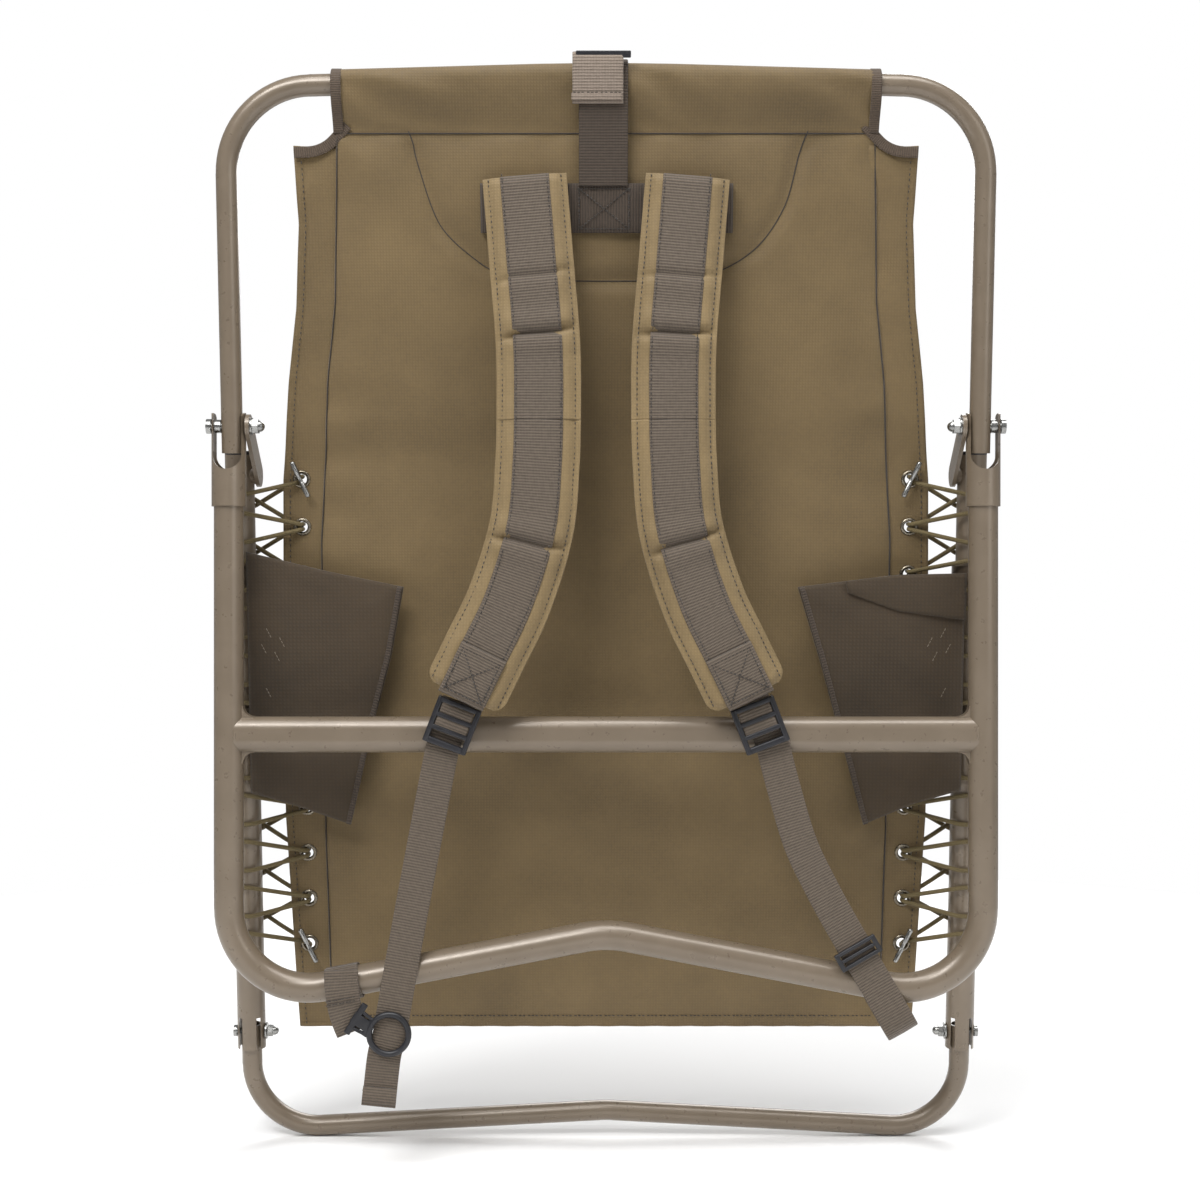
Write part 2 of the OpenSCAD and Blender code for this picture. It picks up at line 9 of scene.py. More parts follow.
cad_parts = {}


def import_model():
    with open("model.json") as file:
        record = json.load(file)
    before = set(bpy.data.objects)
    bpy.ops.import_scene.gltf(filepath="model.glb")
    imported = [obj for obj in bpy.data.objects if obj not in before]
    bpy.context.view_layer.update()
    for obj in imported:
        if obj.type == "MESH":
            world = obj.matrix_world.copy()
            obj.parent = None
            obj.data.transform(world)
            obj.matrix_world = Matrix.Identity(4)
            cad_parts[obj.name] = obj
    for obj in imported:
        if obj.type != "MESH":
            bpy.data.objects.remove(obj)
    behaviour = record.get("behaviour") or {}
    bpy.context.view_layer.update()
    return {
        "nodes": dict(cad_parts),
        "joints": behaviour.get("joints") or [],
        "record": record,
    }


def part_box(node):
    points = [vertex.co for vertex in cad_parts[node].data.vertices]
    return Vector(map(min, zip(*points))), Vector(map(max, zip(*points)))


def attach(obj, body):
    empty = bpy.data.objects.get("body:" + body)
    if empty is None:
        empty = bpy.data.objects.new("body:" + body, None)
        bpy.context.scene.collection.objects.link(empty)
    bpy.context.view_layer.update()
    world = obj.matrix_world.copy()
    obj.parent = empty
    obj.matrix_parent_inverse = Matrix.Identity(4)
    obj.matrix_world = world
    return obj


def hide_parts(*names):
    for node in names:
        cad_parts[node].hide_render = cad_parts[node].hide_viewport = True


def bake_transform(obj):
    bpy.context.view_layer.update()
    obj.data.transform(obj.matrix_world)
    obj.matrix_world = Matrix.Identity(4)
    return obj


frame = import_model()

# ---- places, in mm from the main pivot
JOINT = {j["name"]: j for j in frame["joints"]}
PIVOT = [1000 * c for c in JOINT["rear_frame_hinge"]["pos_m"]]
FOOT_POS = [1000 * c for c in JOINT["foot_loop_hinge"]["pos_m"]]
LEAN = math.radians(6.2)              # the rails lean against the rear frame
HEAD_RISE = 249.5
FIRST_EYELET, LAST_EYELET, EYELETS = 440.0, 72.0, 11
PITCH = (FIRST_EYELET - LAST_EYELET) / (EYELETS - 1)
SIDE_X, EYELET_X, MAIN_R, CORD_R, HOLE_R = 282.8, 235.0, 11.1, 1.75, 4.6
FOOT = (FOOT_POS[1] - PIVOT[1], FOOT_POS[2] - PIVOT[2])
BAR = (-HEAD_RISE * math.sin(LEAN), HEAD_RISE * math.cos(LEAN))
EYELET = (FOOT[0] - FIRST_EYELET * math.sin(LEAN), FOOT[1] + FIRST_EYELET * math.cos(LEAN))
TILT = math.atan2(EYELET[0] - BAR[0], BAR[1] - EYELET[1])
HEM_Z = FOOT[1] + 4
SEAM_Z = BAR[1] - 34                   # seam under the top sleeve
WEB_Y = -12.6                          # middle of the webbing that lies on the rear frame
PAD_BACK = 1000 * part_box("shoulder_pads_lower")[0].y - PIVOT[1]


def world(x, y, z):
    """A point from mm beside, behind and above the main pivot."""
    return Vector((x, PIVOT[1] + y, PIVOT[2] + z)) / 1000


def rail(x, w, v):
    """A point from the rails' own frame: w in front of their plane, v up from the foot pivot."""
    return world(x, FOOT[0] + w * math.cos(LEAN) - v * math.sin(LEAN),
                 FOOT[1] + w * math.sin(LEAN) + v * math.cos(LEAN))


def bar(x, w, v):
    """A point from the top bar's frame, which lies in the head panel's plane."""
    return world(x, BAR[0] + w * math.cos(TILT) - v * math.sin(TILT),
                 BAR[1] + w * math.sin(TILT) + v * math.cos(TILT))


def smooth(t):
    t = np.clip(t, 0, 1)
    return t * t * (3 - 2 * t)


def sling_y(z):
    """Depth of the sling's middle at a height."""
    low = FOOT[0] - (z - FOOT[1]) * math.tan(LEAN)
    high = BAR[0] + (BAR[1] - z) * math.tan(TILT)
    t = smooth((z - EYELET[1] - 2) / 45)
    return low * (1 - t) + high * t


def arch(x):
    """Rise of the top bar towards its middle."""
    rise = (218 - np.abs(x)) * math.tan(math.radians(1.6))
    return np.minimum(rise, 5.0 + 0.3 * np.cos(np.minimum(np.abs(x), 60) / 60 * math.pi))


def ripple(a, b, size, seed):
    """Soft noise from -1 to 1, the same each run."""
    total = 0
    for k in range(5):
        p = seed * 1.7 + k * 2.399
        f = 2 * math.pi / size * (0.6 + 0.27 * k)
        total = total + np.sin(f * (a * math.cos(p) + b * math.sin(p)) + 5.1 * k + seed) / (1 + 0.35 * k)
    return total / 3.2


def box_middle(node):
    """Middle of a CAD node's box, in mm."""
    low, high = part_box(node)
    return [500 * (a + b) for a, b in zip(low, high)]


# ---- materials
def rgb(r, g, b):
    return tuple(((c / 255 + 0.055) / 1.055) ** 2.4 if c > 10 else c / 3294.6 for c in (r, g, b)) + (1,)


class Nodes:
    def __init__(self, name):
        self.mat = bpy.data.materials.new(name)
        self.mat.use_nodes = True
        self.tree = self.mat.node_tree
        self.shader = self.tree.nodes["Principled BSDF"]

    def add(self, kind, **values):
        n = self.tree.nodes.new(kind)
        for k, v in values.items():
            if k in n.inputs:
                n.inputs[k].default_value = v
            else:
                setattr(n, k, v)
        return n

    def link(self, a, b):
        self.tree.links.new(a, b)

    def where(self, uv=False):
        n = self.add("ShaderNodeTexCoord")
        return n.outputs["UV" if uv else "Object"]

    def noise(self, vector, scale, detail=4.0, rough=0.55):
        n = self.add("ShaderNodeTexNoise", Scale=scale, Detail=detail, Roughness=rough)
        self.link(vector, n.inputs["Vector"])
        return n.outputs["Fac"]

    def math(self, op, a, b=None):
        n = self.add("ShaderNodeMath", operation=op)
        for i, v in enumerate((a, b)):
            if v is None:
                continue
            if isinstance(v, (int, float)):
                n.inputs[i].default_value = v
            else:
                self.link(v, n.inputs[i])
        return n.outputs[0]

    def ramp(self, fac, stops):
        n = self.add("ShaderNodeValToRGB")
        self.link(fac, n.inputs["Fac"])
        e = n.color_ramp.elements
        while len(e) < len(stops):
            e.new(0.5)
        for el, (p, c) in zip(e, stops):
            el.position, el.color = p, c
        return n.outputs["Color"]

    def bands(self, vector, scale, axis):
        n = self.add("ShaderNodeTexWave", Scale=scale, Distortion=0.0, wave_type="BANDS",
                     bands_direction=axis, wave_profile="SIN")
        self.link(vector, n.inputs["Vector"])
        return n.outputs["Fac"]

    def bump(self, height, strength, distance, below=None):
        n = self.add("ShaderNodeBump", Strength=strength, Distance=distance)
        self.link(height, n.inputs["Height"])
        if below is not None:
            self.link(below, n.inputs["Normal"])
        self.link(n.outputs["Normal"], self.shader.inputs["Normal"])
        return n.outputs["Normal"]

    def set(self, **values):
        for k, v in values.items():
            self.shader.inputs[k.replace("_", " ")].default_value = v

    def colour(self, fac, *stops):
        """Base colour along a ramp of (place, colour) stops."""
        self.link(self.ramp(fac, stops), self.shader.inputs["Base Color"])

    def roughness(self, fac, *stops):
        """Roughness along a ramp of (place, value) stops."""
        self.link(self.ramp(fac, [(p, (v, v, v, 1)) for p, v in stops]), self.shader.inputs["Roughness"])


def paint_material():
    m = Nodes("frame_paint")
    at = m.where()
    m.colour(m.noise(at, 35.0, 3.0), (0.3, rgb(115, 102, 86)), (0.7, rgb(123, 110, 94)))
    m.roughness(m.noise(at, 180.0, 5.0), (0.3, 0.26), (0.75, 0.37))
    m.set(Metallic=0.15, Coat_Weight=0.3, Coat_Roughness=0.3)
    return m.mat


def cloth_material(name, low, high, weave=900.0, depth=0.25, rough=0.72, sheen=0.25, wrinkle=0.35):
    """Woven cloth: two crossed sets of yarns, soft tone changes and fine wrinkles."""
    m = Nodes(name)
    at = m.where()
    yarns = m.math("MULTIPLY", m.bands(at, weave / 20 * 3.14, "X"), m.bands(at, weave / 20 * 3.14, "Z"))
    patches = m.noise(at, 9.0, 5.0, 0.6)
    fine = m.noise(at, 420.0, 3.0)
    tone = m.math("ADD", m.math("MULTIPLY", patches, 0.62),
                  m.math("ADD", m.math("MULTIPLY", fine, 0.26), m.math("MULTIPLY", yarns, 0.12)))
    m.colour(tone, (0.30, low), (0.66, high))
    m.roughness(fine, (0.2, rough - 0.08), (0.8, rough + 0.08))
    soft = m.bump(m.noise(at, 26.0, 4.0, 0.5), wrinkle, 0.004)
    m.bump(m.math("ADD", yarns, m.math("MULTIPLY", fine, 0.5)), depth, 0.0006, soft)
    m.set(Sheen_Weight=sheen, Sheen_Roughness=0.5)
    return m.mat


def web_material(name, low, high, rib=0.0021):
    """Woven strap: ribs across the strap, finer yarns along it. The UV map is in metres."""
    m = Nodes(name)
    at = m.where(uv=True)
    ribs = m.bands(at, 1 / rib / 20 * 6.283, "Y")
    yarns = m.bands(at, 1 / 0.0011 / 20 * 6.283, "X")
    speckle = m.math("MULTIPLY", m.noise(at, 300.0, 3.0), 0.45)
    tones = m.math("ADD", m.math("MULTIPLY", yarns, 0.2), speckle)
    m.colour(m.math("ADD", m.math("MULTIPLY", ribs, 0.45), tones), (0.25, low), (0.8, high))
    m.bump(m.math("ADD", ribs, m.math("MULTIPLY", yarns, 0.4)), 0.5, 0.0006)
    m.set(Roughness=0.78, Sheen_Weight=0.2)
    return m.mat


def plastic_material():
    m = Nodes("black_plastic")
    at = m.where()
    m.colour(m.noise(at, 60.0, 3.0), (0.3, rgb(22, 22, 26)), (0.7, rgb(36, 36, 41)))
    m.roughness(m.noise(at, 240.0, 3.0), (0.3, 0.32), (0.7, 0.46))
    m.bump(m.noise(at, 1500.0, 2.0), 0.12, 0.0003)
    return m.mat


def zinc_material(name="zinc", low=rgb(134, 134, 133), high=rgb(172, 172, 169)):
    m = Nodes(name)
    at = m.where()
    m.colour(m.noise(at, 120.0, 4.0), (0.3, low), (0.7, high))
    m.roughness(m.noise(at, 500.0, 4.0), (0.3, 0.2), (0.7, 0.36))
    m.bump(m.noise(at, 1800.0, 2.0), 0.08, 0.0002)
    m.set(Metallic=1.0)
    return m.mat


def cord_material():
    m = Nodes("elastic_cord")
    at = m.where(uv=True)
    braid = m.math("MULTIPLY", m.bands(at, 60.0, "DIAGONAL"), m.bands(at, 85.0, "Y"))
    tone = m.math("ADD", m.math("MULTIPLY", braid, 0.6), m.math("MULTIPLY", m.noise(at, 400.0, 2.0), 0.4))
    m.colour(tone, (0.15, rgb(82, 70, 43)), (0.7, rgb(136, 120, 80)))
    m.bump(braid, 0.5, 0.0005)
    m.set(Roughness=0.7)
    return m.mat


PAINT, PLASTIC, ZINC, CORD = paint_material(), plastic_material(), zinc_material(), cord_material()
DULL_ZINC = zinc_material("dull_zinc", rgb(112, 104, 90), rgb(150, 142, 128))
TAN = cloth_material("quilt_fabric", rgb(91, 74, 44), rgb(118, 98, 63))
PAD_CLOTH = cloth_material("pad_fabric", rgb(106, 88, 56), rgb(136, 115, 78), wrinkle=0.2)
POCKET = cloth_material("pocket_fabric", rgb(48, 38, 25), rgb(71, 57, 39), weave=700.0, rough=0.85,
                        sheen=0.15)
WEB = web_material("webbing", rgb(68, 58, 48), rgb(103, 91, 78))
# dark webbing; on the anchor band and along the pockets' inner edges its dark colour is painted shade
DARK_WEB = web_material("webbing_dark", rgb(46, 37, 28), rgb(74, 61, 49))
PALE_WEB = web_material("webbing_pale", rgb(108, 95, 83), rgb(146, 132, 119))
BINDING = web_material("binding", rgb(60, 48, 37), rgb(88, 73, 58), rib=0.0016)
THREAD = cloth_material("thread", rgb(30, 24, 18), rgb(50, 41, 32), wrinkle=0.0)
PALE_THREAD = cloth_material("pale_thread", rgb(104, 94, 78), rgb(132, 121, 104), wrinkle=0.0)


# ---- shapes
def add_object(name, verts, faces, mat, uvs=None):
    mesh = bpy.data.meshes.new(name)
    mesh.from_pydata([tuple(v) for v in verts], [], faces)
    if uvs is not None:
        layer = mesh.uv_layers.new(name="UVMap")
        loops = np.array([l.vertex_index for l in mesh.loops])
        layer.data.foreach_set("uv", np.asarray(uvs, np.float32)[loops].ravel())
    bm = bmesh.new()
    bm.from_mesh(mesh)
    bmesh.ops.recalc_face_normals(bm, faces=bm.faces)
    bm.to_mesh(mesh)
    bm.free()
    mesh.polygons.foreach_set("use_smooth", [True] * len(mesh.polygons))
    mesh.materials.append(mat)
    obj = bpy.data.objects.new(name, mesh)
    bpy.context.scene.collection.objects.link(obj)
    return obj


def shell_faces(rows, cols):
    """Faces of a closed sheet: two grids of points, one after the other, joined round their edges."""
    at = lambda f, i, k: f * rows * cols + i * cols + k
    faces = [(at(f, i, k), at(f, i, k + 1), at(f, i + 1, k + 1), at(f, i + 1, k))
             for f in (0, 1) for i in range(rows - 1) for k in range(cols - 1)]
    faces += [(at(0, i, k), at(0, i + 1, k), at(1, i + 1, k), at(1, i, k))
              for i in range(rows - 1) for k in (0, cols - 1)]
    return faces + [(at(0, i, k), at(0, i, k + 1), at(1, i, k + 1), at(1, i, k))
                    for k in range(cols - 1) for i in (0, rows - 1)]


def fix(obj, body, slot, *nodes):
    """Makes a piece move with one body, standing for CAD nodes. The slot argument is not used."""
    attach(obj, body)
    if nodes:
        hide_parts(*nodes)


def joined(name, objs):
    """One object from several, with their materials."""
    bpy.ops.object.select_all(action="DESELECT")
    for o in objs:
        o.select_set(True)
    bpy.context.view_layer.objects.active = objs[0]
    bpy.ops.object.join()
    objs[0].name = name
    return objs[0]


def spline(points, step):
    """Catmull-Rom points along a list, about step mm apart."""
    p = [Vector(q) for q in points]
    out = []
    for i in range(len(p) - 1):
        a, b, c, d = p[max(i - 1, 0)], p[i], p[i + 1], p[min(i + 2, len(p) - 1)]
        n = max(1, round((c - b).length / step))
        for k in range(n):
            t = k / n
            out.append(0.5 * ((2 * b) + (c - a) * t + (2 * a - 5 * b + 4 * c - d) * t * t
                              + (3 * b - a - 3 * c + d) * t ** 3))
    out.append(p[-1])
    return out


def dense(points, step=0.004):
    """World points along straight stretches."""
    out = [Vector(points[0])]
    for a, b in zip(points, points[1:]):
        n = max(1, round((Vector(b) - Vector(a)).length / step))
        out += [Vector(a).lerp(Vector(b), (k + 1) / n) for k in range(n)]
    return out


def ribbon(name, path, width, thick, mat, side=None, normal=(0, -1, 0), wave=0.0, seed=1):
    """A strap along world points. Its side direction is fixed, or else its normal."""
    n = len(path)
    half, t = width / 2000, thick / 2000
    profile = [(-1, -0.55), (-0.94, -1), (-0.5, -1.0), (0, -1), (0.5, -1.0), (0.94, -1), (1, -0.55),
               (1, 0.55), (0.94, 1), (0.5, 1), (0, 1), (-0.5, 1), (-0.94, 1), (-1, 0.55)]
    verts, uvs, run = [], [], 0.0
    for i, p in enumerate(path):
        d = (path[min(i + 1, n - 1)] - path[max(i - 1, 0)]).normalized()
        if side is None:
            s = Vector(normal).cross(d).normalized()
            up = d.cross(s).normalized()
        else:
            s = Vector(side).normalized()
            up = s.cross(d).normalized()
        if i:
            run += (path[i] - path[i - 1]).length
        for a, b in profile:
            swell = wave / 1000 * math.sin(a * 2.2 + run * 60 + seed) * math.sin(run * 34 + seed)
            verts.append(p + s * half * a + up * (t * b + swell))
            uvs.append((a * half, run))
    m = len(profile)
    faces = [(i * m + k, i * m + (k + 1) % m, (i + 1) * m + (k + 1) % m, (i + 1) * m + k)
             for i in range(n - 1) for k in range(m)]
    faces += [tuple(range(m - 1, -1, -1)), tuple((n - 1) * m + k for k in range(m))]
    return add_object(name, verts, faces, mat, uvs)


def tube(name, path, r, mat, sides=12, closed=False):
    """A round bar along world points; r is in mm, one value or one a point."""
    n = len(path)
    radii = r if isinstance(r, (list, tuple)) else [r] * n
    verts, uvs, run = [], [], 0.0
    ref = None
    for i, p in enumerate(path):
        a, b = (path[i - 1], path[(i + 1) % n]) if closed else (path[max(i - 1, 0)], path[min(i + 1, n - 1)])
        d = (b - a).normalized()
        if ref is None:
            ref = d.orthogonal().normalized()
        ref = (ref - d * ref.dot(d)).normalized()
        other = d.cross(ref)
        if i:
            run += (path[i] - path[i - 1]).length
        for k in range(sides):
            q = 2 * math.pi * k / sides
            verts.append(p + (ref * math.cos(q) + other * math.sin(q)) * radii[i] / 1000)
            uvs.append((k / sides * 2 * math.pi * radii[i] / 1000 * 100, run * 100))
    last = n if closed else n - 1
    faces = [(i * sides + k, i * sides + (k + 1) % sides, (i + 1) % n * sides + (k + 1) % sides,
              (i + 1) % n * sides + k) for i in range(last) for k in range(sides)]
    if not closed:
        faces += [tuple(range(sides - 1, -1, -1)), tuple((n - 1) * sides + k for k in range(sides))]
    return add_object(name, verts, faces, mat, uvs)


def rounded_bars(name, bars, place, mat, bevel=0.9):
    """Bevelled bars (x, y, z, wide, deep, high, turn) in mm, in the frame that place gives."""
    parts = []
    for x, y, z, w, d, h, turn in bars:
        bm = bmesh.new()
        bmesh.ops.create_cube(bm, size=1)
        bmesh.ops.scale(bm, vec=(w / 1000, d / 1000, h / 1000), verts=bm.verts)
        bmesh.ops.bevel(bm, geom=bm.edges[:], offset=min(bevel, 0.45 * min(w, d, h)) / 1000, segments=3,
                        profile=0.6, affect="EDGES")
        bm.transform(place @ Matrix.Translation(Vector((x, y, z)) / 1000)
                     @ Matrix.Rotation(math.radians(turn), 4, "Y"))
        mesh = bpy.data.meshes.new(name)
        bm.to_mesh(mesh)
        bm.free()
        mesh.polygons.foreach_set("use_smooth", [True] * len(mesh.polygons))
        mesh.materials.append(mat)
        o = bpy.data.objects.new(name, mesh)
        bpy.context.scene.collection.objects.link(o)
        parts.append(o)
    return joined(name, parts)


# one thread as rings of six points: (place along it, fatness, rise above the cloth)
STITCH = [(-0.5, 0.35, -0.15), (-0.3, 0.95, 0.22), (0, 1, 0.34), (0.3, 0.95, 0.22), (0.5, 0.35, -0.15)]


def stitches(name, runs, mat=THREAD, out=(0, -1, 0), pitch=3.4, long=2.3, r=0.38):
    """Rows of short threads along world points, standing out along the direction out."""
    verts, faces = [], []
    out = Vector(out).normalized()
    for points in runs:
        path = dense(points, 0.001)
        at, due = 0.0, 0.0
        for a, b in zip(path, path[1:]):
            at += (b - a).length * 1000
            if at < due:
                continue
            due += pitch
            d = (b - a).normalized()
            s = d.cross(out).normalized()
            first = len(verts)
            for along, fat, lift in STITCH:
                c = a + d * along * long / 1000 + out * lift / 1000
                for k in range(6):
                    q = math.pi / 3 * k
                    verts.append(c + (s * math.cos(q) + out * math.sin(q) * 0.8) * fat * r / 1000)
            for i in range(len(STITCH) - 1):
                for k in range(6):
                    faces.append((first + i * 6 + k, first + i * 6 + (k + 1) % 6,
                                  first + (i + 1) * 6 + (k + 1) % 6, first + (i + 1) * 6 + k))
            faces.append(tuple(first + 5 - k for k in range(6)))
            faces.append(tuple(first + 24 + k for k in range(6)))
    return add_object(name, verts, faces, mat)


def apply_modifiers(obj):
    bpy.context.view_layer.objects.active = obj
    for mod in list(obj.modifiers):
        bpy.ops.object.modifier_apply(modifier=mod.name)


# ---- sling
# (height, half width) of the padded middle and of the laced edge, and the yoke seam's (x, height)
WIDTH = [(-475, 218), (-417, 219.5), (-312, 221.5), (-85, 221), (35, 213), (95, 205), (214, 199.5),
         (262, 199.5)]
EDGE = [(-475, 243.5), (-440, 245.5), (-300, 252), (-200, 252), (-37, 249), (35, 242), (90, 234),
        (151, 229.6), (200, 231.5)]
YOKE = [(-146, 216), (-143, 208), (-139, 191), (-124, 150), (-98, 125), (-78, 115), (-40, 110), (40, 110),
        (80, 115), (112, 133), (133, 163), (143, 200), (149, 216)]


def across(table, z):
    z0, w = zip(*table)
    return np.interp(z, z0, w)


def line_distance(x, z, line):
    best = np.full(np.shape(x), 1e9)
    for (ax, az), (bx, bz) in zip(line, line[1:]):
        dx, dz = bx - ax, bz - az
        t = np.clip(((x - ax) * dx + (z - az) * dz) / (dx * dx + dz * dz), 0, 1)
        best = np.minimum(best, np.hypot(x - ax - t * dx, z - az - t * dz))
    return best


def sling_half(x, z):
    """Half thickness of the padded middle: full in the middle, pinched at the seams."""
    rim = across(WIDTH, z) - np.abs(x)
    seam = np.minimum(np.minimum(rim, SEAM_Z - z), (z - HEM_Z) * 0.7)
    h = 1.4 + 5.4 * (1 - np.exp(-np.maximum(seam, 0) / 15.0))
    yoke = line_distance(x, z, YOKE)
    h -= 3.6 * np.exp(-(yoke / 6.5) ** 2) * smooth((SEAM_Z - z) / 10)
    h += 0.75 * ripple(x, z * 0.6, 170, 3) * smooth(seam / 30)
    tug = np.exp(-rim / 26.0) * smooth(rim / 4)
    h += 1.5 * tug * np.sin(z / 9.5 + 2.2 * np.sin(z / 41) + x / 40)
    gather = np.sin(x / 8.0 + 2.5 * np.sin(x / 37)) * smooth((SEAM_Z - z) / 5)
    h += 1.1 * np.exp(-(SEAM_Z - z) / 22.0) * gather
    return np.clip(h, 1.2, 8.6)


def over_bar(a, leg, flat, radius):
    """(w, v) at a, from 0 to 1, on cloth that goes up behind the top bar, over it and down its front."""
    if leg <= a < 1 - leg:
        q = math.pi * (a - leg) / (1 - 2 * leg)
        return -radius * math.cos(q), radius * math.sin(q)
    t = a / leg if a < leg else (1 - a) / leg
    w = flat + (radius - flat) * float(smooth(t * 1.15))
    return (-w if a < leg else w), (SEAM_Z - BAR[1]) * (1 - t)


def make_sling():
    columns = np.linspace(-1, 1, 133)
    columns = np.sign(columns) * (1 - (1 - np.abs(columns)) ** 1.12)
    heights = HEM_Z + (SEAM_Z - HEM_Z) * np.linspace(0, 1, 210)
    rows = []
    for z in heights:
        x = columns * across(WIDTH, z)
        rows.append((x, sling_y(z) - sling_half(x, z), np.full_like(x, z)))
    sleeve_rows, drop = 34, BAR[1] - SEAM_Z
    for k in range(1, sleeve_rows):
        a = k / sleeve_rows
        x = columns * across(WIDTH, SEAM_Z + 20)
        w, v = over_bar(a, 0.38, 1.6, 10.5)
        lift = smooth((v + drop) / drop)
        crease = 1.5 * np.sin((x * 0.86 + v * 1.5) / 7.5 + 1.8 * np.sin(x / 43))
        crease = crease * (0.5 + 0.5 * np.sin(x / 29 + 1)) * (1 - smooth((v - 2) / 8))
        crease = crease * smooth((v + drop) / 8) * (-1 if a < 0.5 else 1)
        rows.append((x, BAR[0] + (w + crease) * math.cos(TILT) - v * math.sin(TILT),
                     BAR[1] + lift * arch(x) + v * math.cos(TILT)))
    for z in heights[::-1]:
        x = columns * across(WIDTH, z)
        rows.append((x, sling_y(z) + sling_half(x, z), np.full_like(x, z)))
    n, m = len(rows), len(columns)
    verts = [world(x, y, z) for r in rows for x, y, z in zip(*r)]
    faces = [(i * m + k, i * m + k + 1, (i + 1) % n * m + k + 1, (i + 1) % n * m + k)
             for i in range(n) for k in range(m - 1)]
    # close the two ends, back row to front row
    for k in (0, m - 1):
        low = [i * m + k for i in range(len(heights))]
        high = [(n - 1 - i) * m + k for i in range(len(heights))]
        faces += [(low[i], low[i + 1], high[i + 1], high[i]) for i in range(len(heights) - 1)]
    return add_object("sling", verts, faces, TAN)


def make_flap(side):
    """Thin laced edge of the sling, with a hole at each eyelet."""
    zs = np.linspace(HEM_Z, 206, 170)
    us = np.linspace(0, 1, 15)
    grid = []
    for face in (-1, 1):
        for z in zs:
            inner, outer = across(WIDTH, z) - 8, across(EDGE, z)
            x = inner + (outer - inner) * us
            top = smooth((z - 150) / 50)
            bow = 0.7 * ripple(x, z * np.ones_like(x), 60, 5 + side) * smooth(z / 60)
            flut = 1.5 * top * np.sin(z / 14 + x / 9)
            half = 0.75 + 0.65 * smooth((us - 0.86) / 0.08)
            for xi, yi in zip(x, sling_y(z) + face * half + (bow + flut) * (us > 0.05)):
                grid.append(world(side * xi, yi, z))
    flap = add_object("flap", grid, shell_faces(len(zs), len(us)), TAN)
    cutters = []
    for i in range(EYELETS):
        c, v = [], FIRST_EYELET - i * PITCH
        for w in (-6, 6):
            for k in range(24):
                q = 2 * math.pi * k / 24
                c.append(rail(side * EYELET_X + HOLE_R * math.cos(q), w, v + HOLE_R * math.sin(q)))
        f = [(k, (k + 1) % 24, 24 + (k + 1) % 24, 24 + k) for k in range(24)]
        f += [tuple(range(23, -1, -1)), tuple(range(24, 48))]
        cutters.append(add_object("cutter", c, f, TAN))
    cutter = joined("cutter", cutters)
    mod = flap.modifiers.new("holes", "BOOLEAN")
    mod.object, mod.operation, mod.solver = cutter, "DIFFERENCE", "EXACT"
    apply_modifiers(flap)
    bpy.data.objects.remove(cutter)
    return flap


def over_joint(obj):
    """Bakes a sling piece's transform into its mesh; the piece does not bend at the main pivot."""
    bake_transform(obj)


sling = joined("sling", [make_sling(), make_flap(-1), make_flap(1)])
over_joint(sling)
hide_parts("back_panel", "head_panel")


def on_sling(x, z, out=0.35):
    return world(x, sling_y(z) - float(sling_half(np.array(x), np.array(z))) - out, z)


# dark seam threads: down both sides, round the yoke, under the sleeve and along the hem
seam_runs = []
for s in (-1, 1):
    zs = np.linspace(HEM_Z + 4, SEAM_Z, 150)
    seam_runs.append([on_sling(s * (across(WIDTH, z) - 1.0), z, 0.5) for z in zs])
yoke_line = [on_sling(p.x, p.y, 0.05) for p in spline([(x, z, 0) for x, z in YOKE], 3)]
piping = [tube("seam_piping", run, 0.55, THREAD, sides=6) for run in seam_runs]
piping.append(tube("seam_piping", yoke_line, 0.5, THREAD, sides=6))
piping.append(tube("seam_piping", [world(x, sling_y(SEAM_Z) - 2.0, SEAM_Z + 0.2)
                                   for x in np.linspace(-198, 198, 120)], 0.5, THREAD, sides=6))
piping.append(stitches("seam_piping", [[world(x, sling_y(HEM_Z + 9) - 3.6, HEM_Z + 9) for x in (-214, 214)]]))
for s in (-1, 1):
    outer = [world(s * (across(EDGE, z) - 5.5), sling_y(z) - 1.7, z) for z in np.linspace(HEM_Z + 3, 195, 80)]
    piping.append(stitches("seam_piping", [outer], pitch=4.2))
piping = joined("seam_piping", piping)
over_joint(piping)

# hem roll and the bindings of the neck cut-outs and sleeve ends
hem = tube("hem_roll", [world(x, sling_y(HEM_Z + 1), HEM_Z + 1.5) for x in np.linspace(-243, 243, 90)],
           [2.0 + 0.15 * math.sin(i * 1.3) for i in range(90)], TAN, sides=10)
fix(hem, "back_frame", "quilt_fabric")
bindings = []
for s in (-1, 1):
    ring = [bar(s * 197.5, *over_bar(k / 40, 0.36, 2.6, 11.3)) for k in range(41)]
    bindings.append(ribbon("neck_binding", ring, 7.5, 1.3, BINDING, side=(s, 0, 0)))
    cut = spline([(s * x, z, 0) for x, z in ((191, 220), (198, 213), (206, 206), (216, 202), (231, 201))], 2)
    for y in (-2.2, 2.2):
        bindings.append(ribbon("neck_binding", [world(p.x, sling_y(p.y) + y, p.y) for p in cut], 8, 1.2,
                               BINDING, normal=(0, 1, 0)))
bindings = joined("neck_binding", bindings)
over_joint(bindings)


# ---- shoulder straps
UPPER = [(60, 181), (55, 120), (50, 57), (49.5, 2)]
LOWER = [(49.5, 2), (50.5, -30), (55, -78), (71, -130), (89, -168), (105, -201)]
CREASES = [(108, 1.6), (66, 4.6), (-88, 4.6)]
PAD_MID = PAD_BACK + 6


def strap_lines(points):
    return [Vector((p.x, p.y)) for p in spline([(x, z, 0) for x, z in points], 1.7)]


